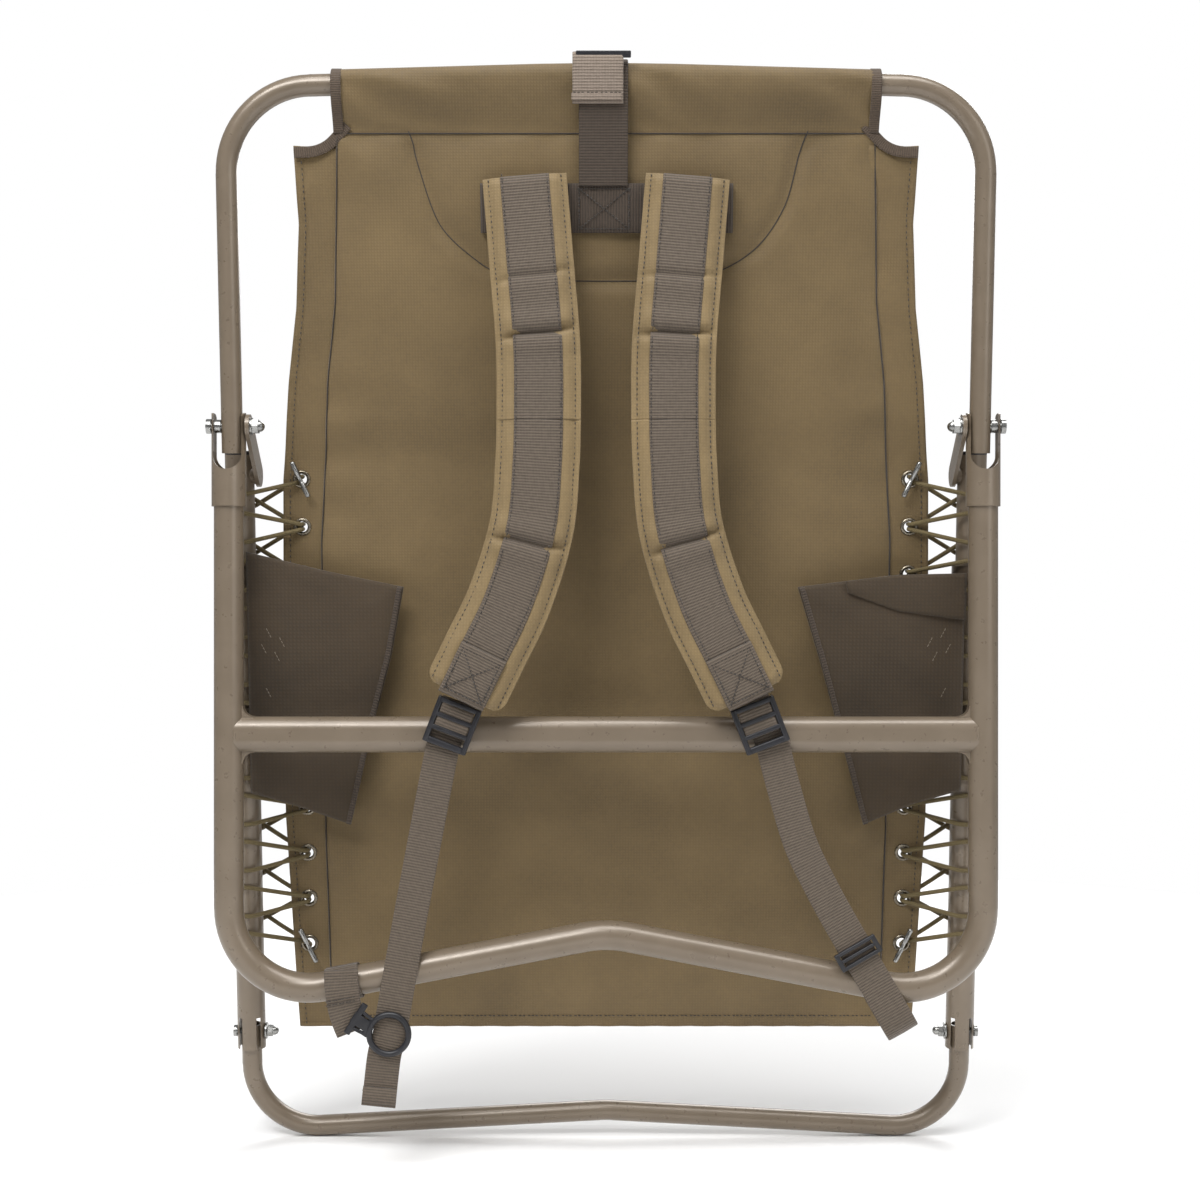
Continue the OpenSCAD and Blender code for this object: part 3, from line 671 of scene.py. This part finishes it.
def pad_profile(s, z, run, side):
    """How far the pad stands out at s mm from its middle line, at the back and at the front."""
    rim = 31 - abs(s)
    full = 1.3 + 3.9 * float(smooth((rim - 3.0) / 6)) if rim > 2.2 else 1.3
    back = full + 0.7 * math.cos(s / 31 * 1.4) * (rim > 2.2)
    pressed = math.exp(-(abs(s) / 13.5) ** 6)
    back -= 1.2 * pressed
    for cz, deep in CREASES:
        back -= deep * math.exp(-((z - cz - 0.10 * s * side) / 2.4) ** 2) * (rim > 1)
        back += 0.30 * deep * math.exp(-((abs(z - cz) - 9) / 7) ** 2) * (rim > 4)
    back += 0.35 * math.sin(run / 6.5 + side) * math.exp(-((rim - 7) / 5) ** 2)
    return max(back, 0.8), min(full + 0.4, 5.8)


def make_pad(name, points, side, a):
    """One half of a shoulder pad, with its ribbed webbing, cut square at the main pivot."""
    line = strap_lines(points)
    cols = np.array([-31, -30.4, -29, -27.5, -26, -24, -21, -18, -15, -12.5, -9, -5, 0])
    cols = np.concatenate([cols, -cols[-2::-1]])
    verts, n, web = [], len(line), []
    for face in (-1, 1):
        run = 0.0
        for i, p in enumerate(line):
            d = (line[min(i + 1, n - 1)] - line[max(i - 1, 0)]).normalized()
            if i in (0, n - 1) and abs(p.y - 2) < 1:
                d = Vector((0, -1))
            if i:
                run += (line[i] - line[i - 1]).length
            end = min(i, n - 1 - i) * 1.7
            near_cut = (i < n / 2) == (abs(line[0].y - 2) < 1)
            taper = 1.0 if near_cut else float(0.6 + 0.4 * smooth(end / 9))
            narrow = 1.0 if near_cut or a == "head_loop" else 1 - 0.22 * max(0.0, 1 - end / 13) ** 2
            for s in cols:
                back, front = pad_profile(s, p.y, run, side)
                depth = (-back if face < 0 else front) * taper
                x, z = p.x - s * narrow * d.y, p.y + s * narrow * d.x
                verts.append(world(side * x, PAD_MID + depth, z))
            if face < 0:
                back, _ = pad_profile(0, p.y, run, side)
                web.append(world(side * p.x, PAD_MID - back * taper - 1.0, p.y))
    pad = add_object(name, verts, shell_faces(n, len(cols)), PAD_CLOTH)
    strip = ribbon(name + "_webbing", web, 36, 1.6, WEB)
    runs = [[q + Vector((s * side / 1000, -0.0009, 0)) for q in web] for s in (-16.5, 16.5)]
    edge_runs = []
    for s in (-26.8, 26.8):
        row = []
        for i, p in enumerate(line[2:-2]):
            d = (line[i + 3] - line[i + 1]).normalized()
            back, _ = pad_profile(s, p.y, 0, side)
            row.append(world(side * (p.x - s * d.y), PAD_MID - back - 0.1, p.y + s * d.x))
        edge_runs.append(row)
    thread = joined(name + "_thread", [stitches("t", runs),
                                       stitches("t", edge_runs, pitch=3.8)])
    for o, slot in ((pad, "quilt_fabric"), (strip, "webbing"), (thread, "webbing")):
        if a == "head_loop":
            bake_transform(o)
        else:
            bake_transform(o)
    return pad


for side, word in ((-1, "left"), (1, "right")):
    upper = make_pad(f"pad_upper_{word}", UPPER, side, "head_loop")
    lower = make_pad(f"pad_lower_{word}", LOWER, side, "back_frame")
    if side < 0:                      # the left pair stands for the CAD nodes, which hold both sides
        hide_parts("shoulder_pads_upper")
        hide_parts("shoulder_pads_lower")


def x_box(name, corners, body, out=(0, -1, 0)):
    """A box of stitches with both diagonals."""
    a, b, c, d = corners
    seam = stitches(name, [[a, b, c, d, a], [a, c], [b, d]], out=out, pitch=3.0, long=2.3, r=0.5)
    fix(seam, body, "webbing")


# squares of cloth sewn over the pads' lower ends, each with a crossed seam
for side, word in ((-1, "left"), (1, "right")):
    d = Vector((side * 16, 0, -33)).normalized()
    centre = world(side * 97.5, PAD_MID - 6.2, -185)
    path = [centre + (d * t + Vector((0, -1.6 + 0.035 * (t + 19), 0))) / 1000 for t in np.linspace(-19, 21, 16)]
    patch = ribbon(f"end_patch_{word}", path, 36, 2.0, WEB)
    fix(patch, "rear_frame", "webbing")
    s = Vector((0, -1, 0)).cross(d).normalized()
    mid = centre + Vector((0, -0.0020, 0))
    box = [mid + d * a / 1000 + s * b / 1000 for a, b in ((-15, -15), (-15, 15), (17, 15), (17, -15))]
    x_box(f"end_seam_{word}", box, "rear_frame")

# anchor band across the head panel, with a crossed seam in the middle; its dark webbing is painted shade, for
# the shade the band lies in between the pads
band_v = -88
band_path = [bar(x, -9.9 - 0.25 * math.sin(x / 11), band_v) for x in np.linspace(-93, 94, 60)]
band = ribbon("anchor_webbing", band_path, 36, 1.8, DARK_WEB, side=bar(0, 0, 1) - bar(0, 0, 0))
fix(band, "head_loop", "webbing", "anchor_band")
box = [bar(x, -11.2, v) for x, v in ((-20, -74), (17, -74), (17, -103), (-20, -103))]
x_box("anchor_seam", box, "head_loop", (0, -1, 0.2))

# carry handle over the sleeve
HANDLE_X = -2
TOP = 6.1 + 9.15 + 1.6
FLAP_X = HANDLE_X - 4
line = [(-11.7, -72), (-11.7, -54), (-11.8, -36), (-11.8, -12), (-12.0, 3), (-10.4, TOP - 5), (-6, TOP - 0.6),
        (0, TOP + 0.8), (6, TOP - 0.6), (10.4, TOP - 5), (11.9, 3), (11.8, -28)]
path = spline([bar(HANDLE_X, w, v) for w, v in line], 0.0025)
handle = ribbon("handle_webbing", path, 36, 1.8, DARK_WEB, side=(1, 0, 0))
line = [(-13.6, -13), (-14.2, -11.5), (-14.6, 0), (-14.9, 12), (-14.4, 18.5), (-13.6, 21), (-12.8, 22.5)]
flap_path = spline([bar(FLAP_X, w, v) for w, v in line], 0.0015)
flap = ribbon("handle_flap", flap_path, 37, 2.6, PALE_WEB, side=(1, 0, 0))
fold = ribbon("handle_flap", [p + Vector((-0.001, -0.0021, 0)) for p in flap_path[1:6]], 36.5, 1.4, PALE_WEB,
              side=(1, 0, 0))
thread = stitches("handle_flap", [[bar(FLAP_X + x, -16.4, -5.5) for x in (-17, 17)]])
flap = joined("handle_flap", [flap, fold, thread])
for o in (handle, flap):
    fix(o, "head_loop", "webbing")
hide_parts("carry_handle")
place = Matrix.Translation(Vector(box_middle("handle_buckle")) / 1000) @ Matrix.Rotation(TILT, 4, "X")
bars = [(0, -1.1, 0, 40, 2.6, 5.0, 0), (0, 2.0, 0, 40, 1.8, 3.2, 0),
        (-18.2, 0.4, 0, 3.4, 5.2, 3.6, 0), (18.2, 0.4, 0, 3.4, 5.2, 3.6, 0)]
buckle = rounded_bars("handle_buckle_body", bars, place, PLASTIC, 0.8)
fix(buckle, "head_loop", "black_plastic", "handle_buckle")

# ladder locks at the pads' lower ends
LOCK_X, LOCK_Z, LOCK_TURN = 114, -223, math.radians(21)
lock_y = box_middle("ladder_locks")[1] - PIVOT[1]
bars = [(-15, 0, 0, 4, 6.4, 35.5, 0), (15, 0, 0, 4, 6.4, 35.5, 0), (0, -0.6, 15.8, 33, 4.6, 4, 0),
        (0, -1.4, 4.6, 30, 3.4, 3.6, 0), (0, -1.4, -5.2, 30, 3.4, 3.6, 0), (0, 0, -15.4, 33, 5.4, 4.8, 0)]
locks = []
for side in (-1, 1):
    turned = Matrix.Rotation(-LOCK_TURN * side, 4, "Y")
    place = Matrix.Translation(world(side * LOCK_X, lock_y, LOCK_Z)) @ turned
    locks.append(rounded_bars("lock", bars, place, PLASTIC, 1.3))
locks = joined("ladder_lock_bodies", locks)
fix(locks, "rear_frame", "black_plastic", "ladder_locks")
loops = []
for side in (-1, 1):
    down = Vector((side * math.sin(LOCK_TURN), 0, -math.cos(LOCK_TURN)))
    c = world(side * LOCK_X, lock_y, LOCK_Z)
    for a, b in ((-17, -3.5), (-6, 7)):
        pts = []
        for q in np.linspace(a, b, 9):
            bow = 0.2 - 2.2 * math.sin(math.pi * (q - a) / (b - a))
            pts.append(c + (down * q + Vector((0, bow, 0))) / 1000)
        loops.append(ribbon("lock_webbing", pts, 25, 1.7, WEB))
loops = joined("lock_webbing", loops)
fix(loops, "rear_frame", "webbing")

# lower webbing
left = spline([world(x, WEB_Y + o, z) for x, o, z in (
    (-109, -1.0, -205), (-115.5, -0.3, -223), (-122, 0, -243), (-135, 0.6, -310), (-149, 0.4, -385),
    (-161, 0, -453), (-165, -0.2, -470), (-169, 0.3, -506))], 0.004)
left = ribbon("webbing_left_strap", left, 25, 1.7, WEB, wave=0.35, seed=2)
hem_rows = [[world(-169 + s, WEB_Y - 1.1, z) for s in (-11, 11)] for z in (-494, -499)]
left_hem = stitches("webbing_left_strap", hem_rows, pitch=2.6)
tail = [world(x, WEB_Y - 1.6, z) for x, z in ((-167.6, -492), (-168.4, -500), (-169, -506))]
tail = ribbon("webbing_left_strap", tail, 25.4, 1.4, WEB)
left = joined("webbing_left_strap", [left, left_hem, tail])
right = spline([world(x, WEB_Y + o, z) for x, o, z in (
    (109, -1.0, -205), (115.5, -0.3, -218), (122, 0, -232), (131, 0.3, -266), (144, 0.6, -310),
    (158, 0.3, -340), (173, 0, -368), (187, 0, -392))], 0.004)
right = ribbon("webbing_right_strap", right, 25, 1.7, WEB, wave=0.35, seed=5)
turn = math.radians(30)
loop_at = Vector((187, -392))


def on_loop(y, v):
    """A point on the right strap's lower loop, v mm up along it."""
    return world(loop_at.x - v * math.sin(turn), y, loop_at.y + v * math.cos(turn))


points = [(-12.6, 4), (-12.7, -12), (-12.8, -34), (-12.6, -54), (-10.6, -64), (-5.5, -69.6), (0, -70.9),
          (5.5, -69.6), (10.6, -64), (12.6, -54), (12.9, -34), (12.6, -12), (12.4, 5)]
back = spline([on_loop(y, v) for y, v in points], 0.003)
right_loop = ribbon("webbing_right_strap", back, 25, 1.7, WEB,
                    side=(math.cos(turn), 0, math.sin(turn)), wave=0.3, seed=3)
right = joined("webbing_right_strap", [right, right_loop])
for o, node in ((left, "webbing_left"), (right, "webbing_right")):
    fix(o, "rear_frame", "webbing", node)
tri_y = box_middle("triglide")[1] - PIVOT[1]
place = Matrix.Translation(world(loop_at.x, tri_y, loop_at.y)) @ Matrix.Rotation(-turn, 4, "Y")
triglide = rounded_bars("triglide_body", [(-15.2, 0, 0, 3.6, 3.4, 14, 0), (15.2, 0, 0, 3.6, 3.4, 14, 0),
                                          (0, 0, 5.6, 33, 3.3, 2.8, 0), (0, 0.2, 0, 30, 2.6, 2.6, 0),
                                          (0, 0, -5.6, 33, 3.3, 2.8, 0)], place, PLASTIC, 1.0)
fix(triglide, "rear_frame", "black_plastic", "triglide")

# webbing loop, hook and ring on the bottom bar
HOOK_X = -196
slope = math.radians(10.7)
BEND_R, LOW_Z = 60, -421                # the rear frame's lower bends, and the bar's height beside them
hook_z = (LOW_Z + BEND_R * (1 - math.cos(slope))
          + (SIDE_X - BEND_R * (1 + math.sin(slope)) + HOOK_X) * math.tan(slope))
bar_dir = Vector((math.cos(slope), 0, math.sin(slope)))
fold_dir = Vector((0, 1, 0)).cross(bar_dir)
ring = []
for k in range(37):
    q = math.radians(-80 + 335 * k / 36)
    away = Vector((0, -1, 0)) * math.cos(q) + fold_dir * math.sin(q)
    ring.append(world(HOOK_X, 0, hook_z) + away * 0.0125)
wrap = ribbon("hook_webbing", ring, 25, 1.7, WEB, side=bar_dir)
drop = spline([world(HOOK_X + x, WEB_Y + y, hook_z + z)
               for x, y, z in ((-1, -1.5, 12), (0, -1.6, -4), (3, -1.0, -20), (8, 0.2, -34))], 0.003)
drop = ribbon("hook_webbing", drop, 25, 1.7, WEB, wave=0.4)
rows = [[world(HOOK_X + x, WEB_Y - 3.4, hook_z - down + 0.19 * x) for x in (-11, 11)] for down in (9, 12)]
thread = stitches("hook_webbing", rows, pitch=2.6)
wrap = joined("hook_webbing", [wrap, drop, thread])
fix(wrap, "rear_frame", "webbing", "hook_loop")
RING_AT = (-161, -452)
ring = [world(RING_AT[0] + 14.6 * math.cos(q), -13.8 - 2.4, RING_AT[1] + 14.6 * math.sin(q))
        for q in np.linspace(0, 2 * math.pi, 40, endpoint=False)]
hook = [tube("hook_body", ring, 2.3, PLASTIC, sides=12, closed=True)]
a, b = world(HOOK_X + 8, -15.6, hook_z - 22), world(RING_AT[0] - 13, -15.6, RING_AT[1] + 4)
mid, d = (a + b) / 2, b - a
place = Matrix.Translation(mid) @ Matrix.Rotation(math.atan2(-d.z, d.x), 4, "Y")
long = d.length * 1000
bars = [(0, 0, 0, long, 3.8, 9, 0), (-long / 2 + 3, 0, 0, 5, 3.9, 26, 0),
        (2, -0.4, 6.4, long - 6, 2.6, 2.6, 6), (2, -0.4, -6.4, long - 6, 2.6, 2.6, -6),
        (long / 2 - 2, 0, 0, 5, 3.9, 15, 0)]
hook.append(rounded_bars("hook_body", bars, place, PLASTIC, 1.3))
hook = joined("hook_body", hook)
fix(hook, "rear_frame", "black_plastic", "strap_hook")


# ---- lacing
WRAP_R = (MAIN_R + CORD_R + 0.15) / math.cos(math.radians(28))


def eyelet_v(i):
    return FIRST_EYELET - i * PITCH


def lace(far):
    out = []
    for i in range(EYELETS):
        v = eyelet_v(i)
        w = v - 0.35 * PITCH
        if i:
            out.append((EYELET_X, 3.4 + far, v - CORD_R - 0.15))
        out.append((EYELET_X, -3.8, v - CORD_R - 0.15))
        if i < EYELETS - 1:
            for k in (2, 1, 0, -1, -2):
                q, r = math.radians(180 + 56 * k), WRAP_R + (far if k == -2 else 0)
                out.append((SIDE_X - r * math.cos(q), r * math.sin(q), w + 0.8 * k))
            out.append(((EYELET_X + SIDE_X) / 2, 7.2 + far * 1.5, w - 0.32 * PITCH))
    return out


def round_corners(points, cut=2.2):
    out = [points[0]]
    for a, b, c in zip(points, points[1:], points[2:]):
        a, b, c = Vector(a), Vector(b), Vector(c)
        u, w = (a - b), (c - b)
        k = min(cut, 0.35 * u.length, 0.35 * w.length)
        p, q = b + u.normalized() * k, b + w.normalized() * k
        out += [p, (p + 2 * b + q) / 4, q]
    return out + [points[-1]]


for side, word in ((-1, "left"), (1, "right")):
    for way, far in (("down", 0.0), ("up", 2 * CORD_R + 0.3)):
        route = lace(far)
        if way == "up":
            route = [(x, y, FIRST_EYELET + LAST_EYELET - v) for x, y, v in route]
        path = [rail(side * p[0], p[1], p[2]) for p in round_corners(route)]
        cord = tube(f"lace_{word}_{way}", path, CORD_R, CORD, sides=10)
        fix(cord, "back_frame", "elastic_cord", f"lacing_{word}_{way}")
rings = []
section = [(4.5, -1.5), (5.2, -2.0), (6.3, -1.75), (6.9, -1.0), (6.9, -0.7), (4.5, -0.6), (4.2, 0),
           (4.5, 0.6), (6.9, 0.7), (6.9, 1.0), (6.3, 1.75), (5.2, 2.0), (4.5, 1.5), (4.1, 0.9), (4.1, -0.9)]
m = len(section)
for side in (-1, 1):
    for i in range(EYELETS):
        verts = []
        for k in range(32):
            q = 2 * math.pi * k / 32
            verts += [rail(side * EYELET_X + r * math.cos(q), w, eyelet_v(i) + r * math.sin(q))
                      for r, w in section]
        faces = [(k * m + j, k * m + (j + 1) % m, (k + 1) % 32 * m + (j + 1) % m, (k + 1) % 32 * m + j)
                 for k in range(32) for j in range(m)]
        rings.append(add_object("eyelet_rings", verts, faces, DULL_ZINC))
rings = joined("eyelet_rings", rings)
fix(rings, "back_frame", "zinc", "eyelets")
pins, lean = [], math.radians(25)
for side in (-1, 1):
    for i in (0, EYELETS - 1):
        a = rail(side * EYELET_X, -6.1 - CORD_R, eyelet_v(i))
        d = (rail(side * math.sin(lean), 0, math.cos(lean)) - rail(0, 0, 0))
        rs = [0.6, 1.5, 1.95, 2.0, 2.0, 1.6, 1.6, 2.0, 2.0, 1.95, 1.5, 0.6]
        at = [-15, -14.7, -13.8, -13, -3.2, -2.6, 2.6, 3.2, 13, 13.8, 14.7, 15]
        pins.append(tube("toggle_bars", [a + d * t for t in at], rs, ZINC, sides=16))
pins = joined("toggle_bars", pins)
fix(pins, "back_frame", "zinc", "toggle_pins")


# ---- pockets
def coons(left, right, top, bottom, nu, nv):
    """A patch of (x, v) points between four edges, each sampled evenly."""
    def sample(line, n):
        p = [Vector(q) for q in line]
        runs = np.concatenate([[0], np.cumsum([(b - a).length for a, b in zip(p, p[1:])])])
        t = np.linspace(0, runs[-1], n)
        return np.stack([np.interp(t, runs, [q[k] for q in p]) for k in (0, 1)], 1)
    L, R, T, B = sample(left, nv), sample(right, nv), sample(top, nu), sample(bottom, nu)
    u, v = np.linspace(0, 1, nu)[None, :, None], np.linspace(0, 1, nv)[:, None, None]
    return ((1 - u) * L[:, None] + u * R[:, None] + (1 - v) * T[None] + v * B[None]
            - ((1 - u) * (1 - v) * T[0] + u * (1 - v) * T[-1] + (1 - u) * v * B[0] + u * v * B[-1]))


POCKET_V = eyelet_v(2)


def pocket(name, side, top, right_edge, bottom, seed, flap=None):
    """A pocket behind a rail: its outline is (mm in from the rail, mm up from the third eyelet)."""
    nu, nv = 44, 72
    grid = coons([top[0], bottom[0]], right_edge, top, bottom, nu, nv)
    verts = []
    u = np.linspace(0, 1, nu)[None, :] * np.ones((nv, 1))
    v = np.linspace(0, 1, nv)[:, None] * np.ones((1, nu))
    rim = np.minimum(np.minimum(u, 1 - u) * 110, np.minimum(v, 1 - v) * 190)
    x, z = grid[..., 0], grid[..., 1]
    fat = 1.2 + 3.1 * (1 - np.exp(-rim / 16.0))
    folds = 1.1 * np.sin((x * 0.7 - z * 0.35) / 15 + 1.4 * np.sin(z / 33 + seed) + seed) * smooth(rim / 20)
    folds = folds + 0.8 * ripple(x, z, 46, seed) * smooth(rim / 12)
    back = -22.5 - fat - folds * 0.9
    front = -22.5 + fat + folds * 0.2
    for depth in (back, front):
        for i in range(nv):
            for k in range(nu):
                verts.append(rail(side * (SIDE_X - x[i, k]), max(min(depth[i, k], -17.9), -28.8),
                                  POCKET_V + z[i, k]))
    body = add_object(name, verts, shell_faces(nv, nu), POCKET)
    # a thin dark strip along the pocket's inner edge: painted shadow where the pocket stands off the sling
    edge = [rail(side * (SIDE_X - x[i, -2]), back[i, -2] - 0.6, POCKET_V + z[i, -2]) for i in range(nv)]
    edge_shadow = ribbon(name, edge, 3.6, 1.4, DARK_WEB)
    parts = [body, edge_shadow]
    for v0 in (0, -3 * PITCH):
        loop = [rail(side * (SIDE_X - 13.1 * math.cos(q)), -13.1 * math.sin(q), POCKET_V + v0)
                for q in np.linspace(0, 2 * math.pi, 33)]
        parts.append(ribbon(name, loop, 14, 1.5, POCKET, side=rail(0, 0, 1) - rail(0, 0, 0)))
    marks = []
    for a, b in ((24, -40), (20, -52), (30, -58), (23, -86), (34, -47)):
        marks.append([rail(side * (SIDE_X - a), -29.2, POCKET_V + b),
                      rail(side * (SIDE_X - a - 3), -29.2, POCKET_V + b - 6)])
    parts.append(stitches(name, marks, PALE_THREAD, pitch=3.0, long=2.2, r=0.26))
    if flap:
        rows, cols = 12, 30
        g = coons([flap[0][0], flap[1][0]], [flap[0][-1], flap[1][-1]], flap[0], flap[1], cols, rows)
        fv = []
        for face in (0, 1):
            for i in range(rows):
                for k in range(cols):
                    roll = 1.7 * math.sin(math.pi * (i / (rows - 1))) + 0.8 * math.sin(k / 4.2 + seed)
                    fv.append(rail(side * (SIDE_X - g[i, k, 0]), -28.3 - 0.5 * roll + (1.6 if face else 0),
                                   POCKET_V + g[i, k, 1]))
        parts.append(add_object(name, fv, shell_faces(rows, cols), POCKET))
    body = joined(name, parts)
    fix(body, "back_frame", "pocket_fabric")
    return body


left = pocket("gear_pocket_left", -1, [(8, 19), (70, 4), (128, -8)],
              [(128, -8), (118, -61), (103, -116), (85, -193)], [(8, -168), (45, -179), (85, -193)], 1.0)
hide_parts("pocket_left")
right = pocket("gear_pocket_right", 1, [(8, 2), (63, 1), (136, -8)],
               [(136, -8), (118, -66), (100, -130), (83, -193)], [(8, -166), (45, -177), (83, -193)], 4.0,
               flap=([(8, 3), (60, 2), (100, -3)], [(8, -33), (60, -26), (98, -12)]))
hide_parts("pocket_right")


# ---- seat cushion
SEAT = dict(half=215, low=8, high=408, back=11, front=41)


def seat_cushion():
    """A foam cushion: a rounded box swollen by a cloth simulation, then sewn down in channels."""
    r, verts, faces = 22, [], []
    hw, lo, hi = SEAT["half"] - 7, SEAT["low"] + 7, SEAT["high"] - 7
    outline = []
    for cx, cv, a0 in ((hw - r, hi - r, 0), (-hw + r, hi - r, 90),
                       (-hw + r, lo + r, 180), (hw - r, lo + r, 270)):
        for k in range(7):
            q = math.radians(a0 + 15 * k)
            outline.append((cx + r * math.cos(q), cv + r * math.sin(q)))
    n = len(outline)
    mid_v = (lo + hi) / 2
    for w, inset in ((SEAT["back"] + 6, 4), (SEAT["back"] + 9, 0),
                     (SEAT["front"] - 9, 0), (SEAT["front"] - 6, 4)):
        for x, v in outline:
            f = 1 - inset / SEAT["half"]
            verts.append(rail(x * f, w, mid_v + (v - mid_v) * f))
    for j in range(3):
        faces += [(j * n + k, j * n + (k + 1) % n, (j + 1) * n + (k + 1) % n, (j + 1) * n + k)
                  for k in range(n)]
    faces += [tuple(range(n - 1, -1, -1)), tuple(3 * n + k for k in range(n))]
    cushion = add_object("seat_cushion", verts, faces, TAN)
    mod = cushion.modifiers.new("remesh", "REMESH")
    mod.mode, mod.voxel_size = "VOXEL", 0.006
    apply_modifiers(cushion)
    start = np.array([v.co for v in cushion.data.vertices])
    mod = cushion.modifiers.new("cloth", "CLOTH")
    mod.settings.use_pressure = True
    mod.settings.uniform_pressure_force = 4
    mod.settings.effector_weights.gravity = 0
    mod.settings.quality = 5
    scene = bpy.context.scene
    mod.point_cache.frame_start, mod.point_cache.frame_end = 1, 20
    for f in range(1, 21):
        scene.frame_set(f)
    shape = cushion.evaluated_get(bpy.context.evaluated_depsgraph_get())
    moved = np.array([v.co for v in shape.data.vertices]) - start
    cushion.modifiers.remove(mod)
    scene.frame_set(1)
    size = np.linalg.norm(moved, axis=1, keepdims=True)
    moved *= np.minimum(1, 0.0075 / np.maximum(size, 1e-9))
    start = start + moved
    # channels across the cushion, a pinched side seam, and small tugs beside them
    origin = np.array([rail(0, 0, 0)])
    up = np.array(rail(0, 0, 1) - rail(0, 0, 0)) * 1e3
    outward = np.array(rail(0, 1, 0) - rail(0, 0, 0)) * 1e3
    local = (start - origin) * 1000
    v, w, x = local @ up, local @ outward, local[:, 0]
    sunk = np.zeros(len(v))
    for c in (108, 208, 308):
        sunk += 6.0 * np.exp(-((v - c) / 6.0) ** 2)
    sunk += 0.7 * ripple(x, v, 60, 7)
    centre = (SEAT["back"] + SEAT["front"]) / 2
    face = np.sign(w - centre) * smooth(np.abs(w - centre) / 6)
    w = np.clip(w - face * sunk, SEAT["back"] - 1.5, SEAT["front"] + 6)
    start = origin + (np.outer(v, up) + np.outer(w, outward)) / 1000
    start[:, 0] = x / 1000
    cushion.data.vertices.foreach_set("co", start.ravel())
    mod = cushion.modifiers.new("smooth", "SUBSURF")
    mod.levels = mod.render_levels = 1
    apply_modifiers(cushion)
    cushion.data.polygons.foreach_set("use_smooth", [True] * len(cushion.data.polygons))
    return cushion, (float(x.max()), float(v.min()), float(v.max()))


seat, (seat_half, seat_low, seat_high) = seat_cushion()
fix(seat, "seat", "quilt_fabric", "seat_pad")
edge, corner = [], 26
for sx, sv, a0 in ((1, 1, 0), (-1, 1, 90), (-1, -1, 180), (1, -1, 270)):
    cx = sx * (seat_half - 0.4 - corner)
    cv = seat_high - 0.4 - corner if sv > 0 else seat_low + 0.4 + corner
    for k in range(9):
        q = math.radians(a0 + 11.25 * k)
        edge.append(rail(cx + corner * math.cos(q), 26, cv + corner * math.sin(q)))
edge = dense(edge + [edge[0]], 0.006)[:-1]
seat_edge = tube("seat_piping", edge, 2.0, BINDING, sides=10, closed=True)
fix(seat_edge, "seat", "webbing")
webs = []
for s in (-1, 1):
    path = spline([rail(s * 150, w, v) for w, v in ((9.3, 5), (9.2, 20), (9.2, 62))], 0.004)
    webs.append(ribbon("seat_hinge_straps", path, 36, 1.7, WEB, side=(1, 0, 0)))
webs = joined("seat_hinge_straps", webs)
fix(webs, "seat", "webbing", "seat_hinge_web")


# ---- frame finish
FINISH = {"frame_paint": PAINT, "black_plastic": PLASTIC, "zinc": ZINC}
for part in frame["record"]["subparts"]:
    mat = FINISH.get(part["material_slot"])
    if mat is not None:
        o = frame["nodes"][part["node"]]
        o.data.materials.clear()
        o.data.materials.append(mat)

# weld beads where the crossbar meets the side tubes
beads = []
for s in (-1, 1):
    ring = []
    for k in range(48):
        q = 2 * math.pi * k / 48
        y, z = 9.6 * math.cos(q), 13.2 * math.sin(q)
        x = SIDE_X - math.sqrt(max(MAIN_R ** 2 - y ** 2, 0)) - 0.3
        ring.append(world(s * x, y, -231 + z))
    beads.append(tube("weld_beads", ring, [1.0 + 0.22 * math.sin(k * 1.9) for k in range(48)], PAINT, sides=8,
                      closed=True))
beads = joined("weld_beads", beads)
fix(beads, "rear_frame", "frame_paint")


# ---- studio
def stage_plane(name, corners, strength):
    m = Nodes(name)
    greys = [(place, (v, v, v, 1)) for place, v in ((0.0, strength), (1.0, strength + 0.01))]
    m.colour(m.noise(m.where(), 2.0, 2.0), *greys)
    m.set(Roughness=0.9)
    o = add_object(name, [Vector(c) for c in corners], [tuple(range(len(corners)))], m.mat)
    return o


FLOOR_R = 1.5
stage_plane("floor", [(FLOOR_R * math.cos(math.pi * k / 48), FLOOR_R * math.sin(math.pi * k / 48), 0)
                      for k in range(96)], 0.97)


def area(name, place, target, size, power):
    light = bpy.data.lights.new(name, "AREA")
    light.shape, light.size, light.size_y, light.energy = "RECTANGLE", size[0], size[1], power
    o = bpy.data.objects.new(name, light)
    o.location = place
    o.rotation_euler = (Vector(target) - Vector(place)).to_track_quat("-Z", "Y").to_euler()
    bpy.context.scene.collection.objects.link(o)


area("key", (-0.9, -1.7, 2.2), (0, 0, 0.45), (1.3, 0.8), 46)
area("fill", (1.9, -1.9, 1.1), (0, 0, 0.4), (1.2, 1.6), 10)
area("top", (0.2, -0.8, 2.5), (0, 0, 0.4), (1.8, 0.9), 34)
area("far", (0.5, 2.3, 1.8), (0, 0, 0.45), (2.0, 1.4), 48)
back_world = bpy.data.worlds.new("studio")
back_world.use_nodes = True
tree = back_world.node_tree
seen = tree.nodes.new("ShaderNodeLightPath")
level = tree.nodes.new("ShaderNodeMapRange")
level.inputs["To Min"].default_value, level.inputs["To Max"].default_value = 0.30, 1.0
tree.links.new(seen.outputs["Is Camera Ray"], level.inputs["Value"])
tree.links.new(level.outputs["Result"], tree.nodes["Background"].inputs["Strength"])
tree.nodes["Background"].inputs["Color"].default_value = (1, 1, 1, 1)
bpy.context.scene.world = back_world
bpy.context.scene.view_settings.view_transform = "Standard"

camera = bpy.data.cameras.new("camera")
camera.lens, camera.sensor_width = 54, 36
eye = bpy.data.objects.new("camera", camera)
eye.location = (-0.0045, PIVOT[1] / 1000 - 1.35, 0.43)
eye.rotation_euler = (math.pi / 2, 0, 0)
bpy.context.scene.collection.objects.link(eye)
bpy.context.scene.camera = eye
